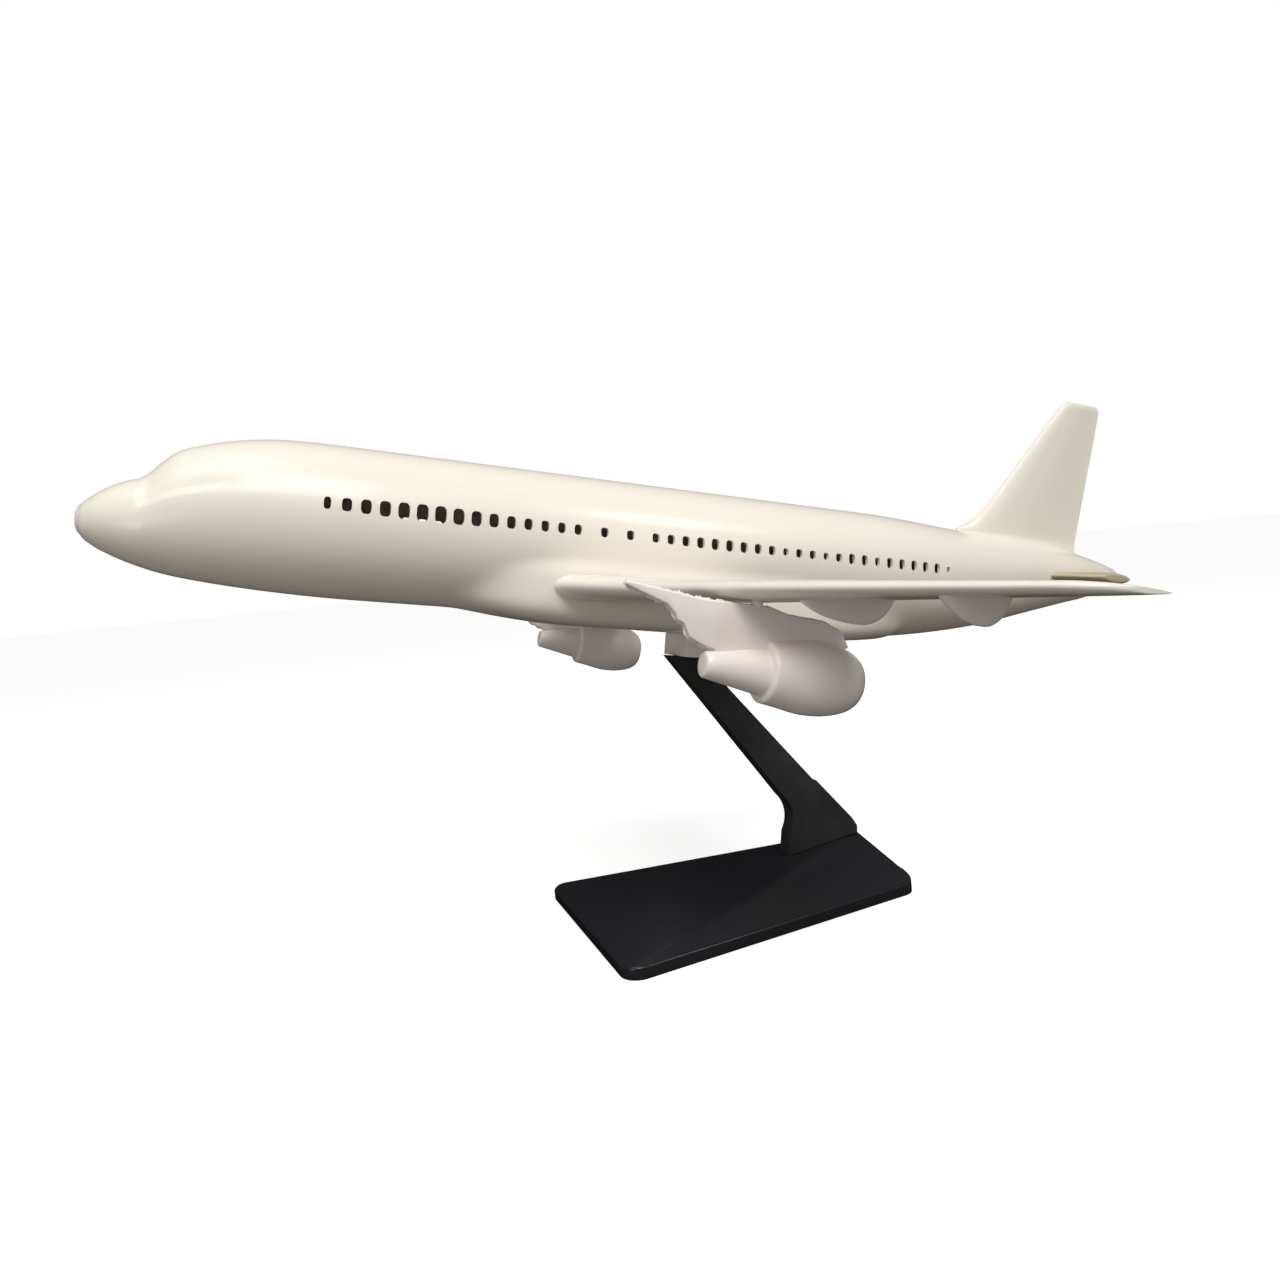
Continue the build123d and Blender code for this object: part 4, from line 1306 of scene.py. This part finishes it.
    def flash(self) -> bpy.types.Object:
        """The thin ragged web of plastic squeezed out along the pylon's parting line."""
        outline = np.array(self.pylon + self.pylon[:1])
        run = np.concatenate([[0.0], np.cumsum(np.linalg.norm(np.diff(outline, axis=0), axis=1))])
        at = np.arange(0, run[-1], 0.22)
        line = np.stack([np.interp(at, run, outline[:, 0]), np.interp(at, run, outline[:, 1])], 1)
        ahead = np.roll(line, -2, axis=0) - np.roll(line, 2, axis=0)
        outward = np.stack([-ahead[:, 1], ahead[:, 0]], 1) / np.linalg.norm(ahead, axis=1, keepdims=True)
        wander = (np.sin(1.7 * at) + np.sin(3.9 * at + 1.0) + 0.8 * np.sin(9.1 * at + 2.0)
                  + 0.6 * np.sin(17.3 * at + 0.4)) / 3.4
        lower_front = (line[:, 0] < 92.5) & (line[:, 1] < -8.4)
        reach = np.where(lower_front, 0.22 + 0.3 * wander, 0.08 + 0.1 * wander).clip(0.02, 0.55)
        rows = []
        for side_y, share in ((0.1, -0.3), (0.05, 1.0), (-0.05, 1.0), (-0.1, -0.3)):
            edge = line + outward * (reach * share if share > 0 else np.full_like(reach, -0.3))[:, None]
            rows.append(np.column_stack([edge[:, 0], np.full(len(at), -self.span_y + side_y), edge[:, 1]]))
        mesh = MeshBuilder()
        grid = np.stack(rows + rows[:1])
        mesh.grid(grid, wrap=True)
        return mesh.build("pylon_flash", side_place(self.side), 50.0)

    def peg_pin(self) -> bpy.types.Object:
        """The round peg with a chamfered end that plugs into the wing."""
        x, radius, low, high = self.peg
        mesh = MeshBuilder()
        turn = np.linspace(0, 2 * math.pi, 36, endpoint=False)
        rings = [(radius, low), (radius, low + 0.4), (radius, high - 0.3), (radius - 0.22, high)]
        points = [np.stack([x + r * np.cos(turn), -self.span_y + r * np.sin(turn), np.full(36, z)], 1)
                  for r, z in rings]
        index = mesh.grid(np.stack(points), wrap=True)
        mesh.cap(index[0])
        mesh.cap(index[-1])
        return mesh.build("engine_peg", side_place(self.side), 40.0)

    def gate(self) -> bpy.types.Object:
        """The rough nub where the sprue was broken off the cone's end."""
        mesh = MeshBuilder()
        turn = np.linspace(0, 2 * math.pi, 28, endpoint=False)
        rows = []
        for x, r, rough in ((0.12, 1.15, 0.05), (0.02, 1.1, 0.1), (-0.0, 0.8, 0.14), (0.03, 0.35, 0.12)):
            radius = r * (1 + rough * (np.sin(3 * turn + r) + np.sin(7 * turn + 2 * r)))
            lift = 0.03 * np.sin(4 * turn + 5 * r)
            rows.append(np.stack([x + np.abs(lift), radius * np.sin(turn), radius * np.cos(turn)], 1))
        index = mesh.grid(np.stack(rows), wrap=True)
        mesh.cap(index[0])
        mesh.cap(index[-1])
        return mesh.build("gate_nub", self.place, 30.0)

    def build(self) -> None:
        """Mould every part of the engine as one piece and dress it."""
        parts = [self.lathe(), self.fan(), self.pylon_plate(), self.flash(), self.peg_pin(), self.gate()]
        piece = joined(f"engine_{self.side.suffix}_moulding", parts)
        dress(piece, Finish.PODS, f"{self.side.name.lower()}_engine", [f"engine_{self.side.suffix}"])


@dataclass
class Stabiliser:
    """One short stabiliser stub with a tab into the tail."""

    side: Side
    hull: Hull
    root: tuple[float, float, float, float] = (4.2, 189.5, 211.0, 2.7)
    tip: tuple[float, float, float, float] = (17.5, 199.4, 207.2, 2.3)
    level: float = 3.6
    clear: float = 0.36
    tab: tuple[float, float, float] = (197.0, 205.0, 3.0)
    tab_thickness: float = 1.2

    def at_span(self, y: np.ndarray, turn: np.ndarray) -> tuple[np.ndarray, np.ndarray]:
        """The oval's edge.

        Args:
            y: Span of each point.
            turn: Each point's angle round the oval.

        Returns:
            Its position along the body and its height.
        """
        share = (y - self.root[0]) / (self.tip[0] - self.root[0])
        front = self.root[1] + (self.tip[1] - self.root[1]) * share
        rear = self.root[2] + (self.tip[2] - self.root[2]) * share
        thick = self.root[3] + (self.tip[3] - self.root[3]) * share
        return (front + rear) / 2 - (rear - front) / 2 * np.cos(turn), self.level + thick / 2 * np.sin(turn)

    def build(self) -> None:
        """Mould the stub, fitted round the tapering tail, and dress it."""
        turn = np.linspace(0, 2 * math.pi, 72, endpoint=False)
        start = np.full_like(turn, 8.0)
        for _ in range(12):
            x, z = self.at_span(start, turn)
            centre, half_h, half_w = self.hull.middle(x)
            lift = np.clip(1 - ((z - centre) / half_h) ** 2, 0.0, 1)
            start = 0.5 * start + 0.5 * (half_w * np.sqrt(lift) + self.clear)
        rows = []
        rounded = 0.93 + 0.07 * np.sin(np.linspace(0.2, math.pi / 2, 7))
        for share in np.concatenate([np.linspace(0, 0.93, 16), rounded]):
            y = start + (self.tip[0] - start) * share
            x, z = self.at_span(y, turn)
            over = max(0.0, (share - 0.93) / 0.07)
            shrink = math.sqrt(max(0.0, 1 - over**2)) * 0.55 + 0.45
            middle = float(x.mean())
            x = middle + (x - middle) * (1 - 0.16 * (1 - shrink))
            z = self.level + (z - self.level) * shrink
            rows.append(np.stack([x, -y, z], 1))
        mesh = MeshBuilder()
        index = mesh.grid(np.stack(rows), wrap=True)
        mesh.cap(index[0])
        mesh.cap(index[-1])
        body = mesh.build("stabiliser", side_place(self.side), 40.0)
        tab = MeshBuilder()
        box_mesh(tab, (self.tab[0], -11.0, self.level - self.tab_thickness / 2),
                 (self.tab[1], -self.tab[2], self.level + self.tab_thickness / 2))
        tongue = softened(tab.build("stabiliser_tab", side_place(self.side)), "stabiliser_tab", 0.15, 2)
        piece = joined(f"stabiliser_{self.side.suffix}_moulding", [body, tongue])
        dress(piece, Finish.TAIL, f"{self.side.name.lower()}_stabiliser", [f"stabiliser_{self.side.suffix}"])


# ------------------------------------------------------------------ stand
def from_frame(frame: dict, node: str, name: str) -> bpy.types.Object:
    """A merged copy of a CAD node's mesh with its flat faces made whole, to be given moulded edges.

    Args:
        frame: The loaded frame.
        node: The CAD node to copy.
        name: The copy's name.

    Returns:
        The copy, at the origin.
    """
    mesh = frame["nodes"][node].data.copy()
    work = bmesh.new()
    work.from_mesh(mesh)
    bmesh.ops.remove_doubles(work, verts=work.verts, dist=2e-6)
    bmesh.ops.dissolve_limit(work, angle_limit=math.radians(1.0), verts=work.verts, edges=work.edges)
    work.to_mesh(mesh)
    work.free()
    mesh.materials.clear()
    made = bpy.data.objects.new(name, mesh)
    bpy.context.scene.collection.objects.link(made)
    return made


@dataclass
class StandSocket:
    """The pale block under the belly that takes the arm's tongue."""

    edge: float = 0.35

    def build(self, frame: dict) -> None:
        """Soften the block's edges and dress it."""
        piece = softened(from_frame(frame, "stand_socket", "socket"), "stand_socket_moulding", self.edge, 3)
        dress(piece, Finish.PODS, "airframe", ["stand_socket"])


@dataclass
class StandArm:
    """The leaning black arm: a flat plate with a finger notch and a tongue at its top."""

    edge: float = 0.3

    def build(self, frame: dict) -> None:
        """Soften the plate's edges and dress it."""
        piece = softened(from_frame(frame, "stand_arm", "arm"), "stand_arm_moulding", self.edge, 3)
        dress(piece, Finish.ARM, "arm", ["stand_arm"])


@dataclass
class StandBase:
    """The black base: a trapezium with three sloping facets that meet at the arm's foot."""

    front_x: float = -32.0
    rear_x: float = 33.5
    front_half: float = 25.5
    rear_half: float = 18.5
    rim: float = 2.2
    apex: tuple[float, float] = (31.6, 8.8)
    corner: float = 3.6
    edge: float = 0.45
    crease: float = 0.035
    slot: tuple[float, float, float, float] = (16.42, 27.58, 1.28, 1.6)

    def outline(self) -> np.ndarray:
        """The rounded trapezium, anticlockwise seen from above, with its outward directions."""
        corners = np.array([(self.front_x, -self.front_half), (self.rear_x, -self.rear_half),
                            (self.rear_x, self.rear_half), (self.front_x, self.front_half)])
        runs = []
        for i in range(4):
            a, b, c = corners[i - 1], corners[i], corners[(i + 1) % 4]
            into, out = (b - a) / np.linalg.norm(b - a), (c - b) / np.linalg.norm(c - b)
            n0, n1 = np.array([into[1], -into[0]]), np.array([out[1], -out[0]])
            half = math.acos(np.clip(n0 @ n1, -1, 1)) / 2
            centre = b - (n0 + n1) / np.linalg.norm(n0 + n1) * self.corner / math.cos(half)
            a0 = math.atan2(n0[1], n0[0])
            for t in np.linspace(0, 1, 14):
                angle = a0 + t * 2 * half
                n = np.array([math.cos(angle), math.sin(angle)])
                runs.append(np.concatenate([centre + self.corner * n, n]))
            start = centre + self.corner * n1
            following = corners[(i + 2) % 4] - c
            n2 = np.array([following[1], -following[0]]) / np.linalg.norm(following)
            half2 = math.acos(np.clip(n1 @ n2, -1, 1)) / 2
            end = c - (n1 + n2) / np.linalg.norm(n1 + n2) * self.corner / math.cos(half2) + self.corner * n1
            for t in np.linspace(0, 1, 26)[1:-1]:
                runs.append(np.concatenate([start + (end - start) * t, n1]))
        return np.array(runs)

    def height(self, x: np.ndarray, y: np.ndarray) -> np.ndarray:
        """Height of the faceted top, its creases slightly rounded.

        Args:
            x: Positions along the base.
            y: Positions across it.

        Returns:
            The height at each place.
        """
        ax, top = self.apex
        front = (ax - x) / (ax - self.front_x)
        rear = (x - ax) / (self.rear_x - ax)
        slope = (self.front_half - self.rear_half) / (self.rear_x - self.front_x)
        half_at_apex = self.rear_half + slope * (self.rear_x - ax)
        near = (np.abs(y) + slope * (x - ax)) / half_at_apex
        level = smooth_max(smooth_max(front, near, self.crease), rear, self.crease * 0.5)
        return self.rim + (top - self.rim) * (1 - level)

    def build(self) -> None:
        """Mould the base, cut the arm's slot and dress it."""
        line = self.outline()
        edge, out = line[:, :2], line[:, 2:]
        middle = np.array([self.apex[0] - 1.2, 0.0])
        mesh, rows = MeshBuilder(), []
        inner = edge - out * self.edge
        for t in np.concatenate([np.linspace(0.004, 0.9, 44), np.linspace(0.925, 1.0, 5)]):
            p = middle + (inner - middle) * t
            rows.append(np.column_stack([p, self.height(p[:, 0], p[:, 1])]))
        rim_top = rows[-1][:, 2]
        for a in np.linspace(0, math.pi / 2, 7)[1:]:
            p = inner + out * self.edge * math.sin(a)
            rows.append(np.column_stack([p, rim_top - self.edge * (1 - math.cos(a))]))
        for z, inset in ((1.0, 0.0), (0.2, 0.0), (0.05, 0.05), (0.0, 0.2), (0.0, 1.6), (0.0, 1.8)):
            p = edge - out * inset
            rows.append(np.column_stack([p, np.full(len(p), z)]))
        index = mesh.grid(np.stack(rows), wrap=True)
        mesh.cap(index[0])
        mesh.cap(index[-1])
        block = mesh.build("base_block", None, 40.0)
        slot = MeshBuilder()
        x0, x1, half, floor = self.slot
        box_mesh(slot, (x0, -half, floor), (x1, half, 20.0))
        piece = cut(block, slot.build("arm_slot"), "stand_base_moulding", 40.0)
        dress(piece, Finish.BASE, "base", ["stand_base"])


# ------------------------------------------------------------------ studio
@dataclass
class Softbox:
    """One soft square light: where it stands, what it looks at, its size and its power."""

    name: str
    at: tuple[float, float, float]
    aim: tuple[float, float, float]
    size: float
    power: float
    tint: tuple[float, float, float] = (1.0, 1.0, 1.0)

    def build(self) -> None:
        """Make the light."""
        lamp = bpy.data.lights.new(self.name, "AREA")
        lamp.shape, lamp.size, lamp.energy, lamp.color = "SQUARE", self.size, self.power, self.tint
        held = bpy.data.objects.new(self.name, lamp)
        held.location = self.at
        held.rotation_euler = (Vector(self.aim) - Vector(self.at)).to_track_quat("-Z", "Y").to_euler()
        bpy.context.scene.collection.objects.link(held)


@dataclass
class Studio:
    """Pale floor, pale surroundings, soft lights and the camera."""

    camera_at: tuple[float, float, float] = (-0.07572, -0.16784, 0.0705)
    yaw_deg: float = -20.07
    rise_deg: float = 4.5
    roll_deg: float = -5.53
    lens: float = 25.3125
    floor_size: float = 20.0
    sky: list[tuple[float, tuple[float, float, float]]] = field(default_factory=lambda: [
        (0.38, (0.175, 0.16, 0.148)), (0.52, (0.37, 0.36, 0.35)), (1.0, (0.54, 0.54, 0.54))])
    lights: list[Softbox] = field(default_factory=lambda: [
        Softbox("key", (-0.1, -0.42, 0.52), (0.0, 0.0, 0.07), 0.3, 2.1, (1.0, 0.985, 0.96)),
        Softbox("overhead", (-0.2, -0.08, 0.62), (-0.06, 0.0, 0.08), 0.25, 0.55),
        Softbox("streak", (0.235, -0.29, 0.425), (0.0, 0.0, 0.08), 0.09, 0.3),
        Softbox("edge", (-0.42, -0.3, 0.03), (0.03, -0.05, 0.06), 0.16, 0.34, (1.0, 0.985, 0.96)),
    ])

    def camera(self) -> None:
        """Stand the camera at its viewing angle."""
        yaw, rise, roll = (math.radians(v) for v in (self.yaw_deg, self.rise_deg, self.roll_deg))
        back = Vector((math.sin(yaw) * math.cos(rise), -math.cos(yaw) * math.cos(rise), math.sin(rise)))
        right = (-back).cross(Vector((0, 0, 1))).normalized()
        up = right.cross(-back)
        across = right * math.cos(roll) + up * math.sin(roll)
        upright = up * math.cos(roll) - right * math.sin(roll)
        lens = bpy.data.cameras.new("camera")
        lens.lens, lens.sensor_width, lens.sensor_fit = self.lens, 36.0, "HORIZONTAL"
        lens.clip_start, lens.clip_end = 0.005, 50.0
        lens.dof.use_dof = False
        held = bpy.data.objects.new("camera", lens)
        turn = Matrix((across, upright, back)).transposed().to_4x4()
        held.matrix_world = Matrix.Translation(Vector(self.camera_at)) @ turn
        bpy.context.scene.collection.objects.link(held)
        bpy.context.scene.camera = held

    def floor(self) -> None:
        """Lay the pale floor."""
        mesh = MeshBuilder()
        line = np.linspace(-self.floor_size / 2, self.floor_size / 2, 9) / MM
        x, y = np.meshgrid(line, line, indexing="ij")
        mesh.grid(np.stack([x, y, np.full_like(x, -0.02)], -1))
        laid = mesh.build("studio_floor")
        laid.data.materials.append(Finish.FLOOR.material)
        laid.visible_diffuse = False
        laid.visible_glossy = False

    def surroundings(self) -> None:
        """Grey light from above, a little warm light from below, and plain white where the camera looks."""
        world = bpy.data.worlds.new("surroundings")
        bpy.context.scene.world = world
        world.use_nodes = True
        tree = world.node_tree
        sky = tree.nodes["Background"]
        backdrop = tree.nodes.new("ShaderNodeBackground")
        seen = tree.nodes.new("ShaderNodeLightPath")
        either = tree.nodes.new("ShaderNodeMixShader")
        tree.links.new(seen.outputs["Is Camera Ray"], either.inputs[0])
        tree.links.new(sky.outputs[0], either.inputs[1])
        tree.links.new(backdrop.outputs[0], either.inputs[2])
        tree.links.new(either.outputs[0], tree.nodes["World Output"].inputs[0])
        backdrop.inputs["Color"].default_value = (1.0, 1.0, 1.0, 1.0)
        heading = tree.nodes.new("ShaderNodeTexCoord")
        split = tree.nodes.new("ShaderNodeSeparateXYZ")
        shade = tree.nodes.new("ShaderNodeValToRGB")
        level = tree.nodes.new("ShaderNodeMapRange")
        level.inputs["From Min"].default_value, level.inputs["From Max"].default_value = -1.0, 1.0
        ramp = shade.color_ramp
        ramp.elements.new(0.5)
        for element, (position, colour) in zip(ramp.elements, self.sky):
            element.position, element.color = position, (*colour, 1.0)
        tree.links.new(heading.outputs["Generated"], split.inputs[0])
        tree.links.new(split.outputs["Z"], level.inputs["Value"])
        tree.links.new(level.outputs[0], shade.inputs[0])
        tree.links.new(shade.outputs[0], sky.inputs["Color"])
        world.cycles_visibility.glossy = False

    def build(self) -> None:
        """Set up the whole studio."""
        self.camera()
        self.floor()
        self.surroundings()
        for light in self.lights:
            light.build()
        bpy.context.scene.view_settings.view_transform = "Standard"


def main() -> None:
    logging.basicConfig(level=logging.INFO, format="%(message)s")
    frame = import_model()
    Studio().build()
    fuselage = Fuselage()
    fuselage.build()
    for side in Side:
        Wing(side).build()
        TrackFairing(side, "inner", 56.0, 100.4, 116.4, -11.9, -8.0).build()
        TrackFairing(side, "outer", 78.0, 107.2, 117.8, -11.4, -7.2).build()
        Engine(side).build()
        Stabiliser(side, fuselage.hull).build()
    StandSocket().build(frame)
    StandArm().build(frame)
    StandBase().build()


if __name__ == "__main__":
    main()
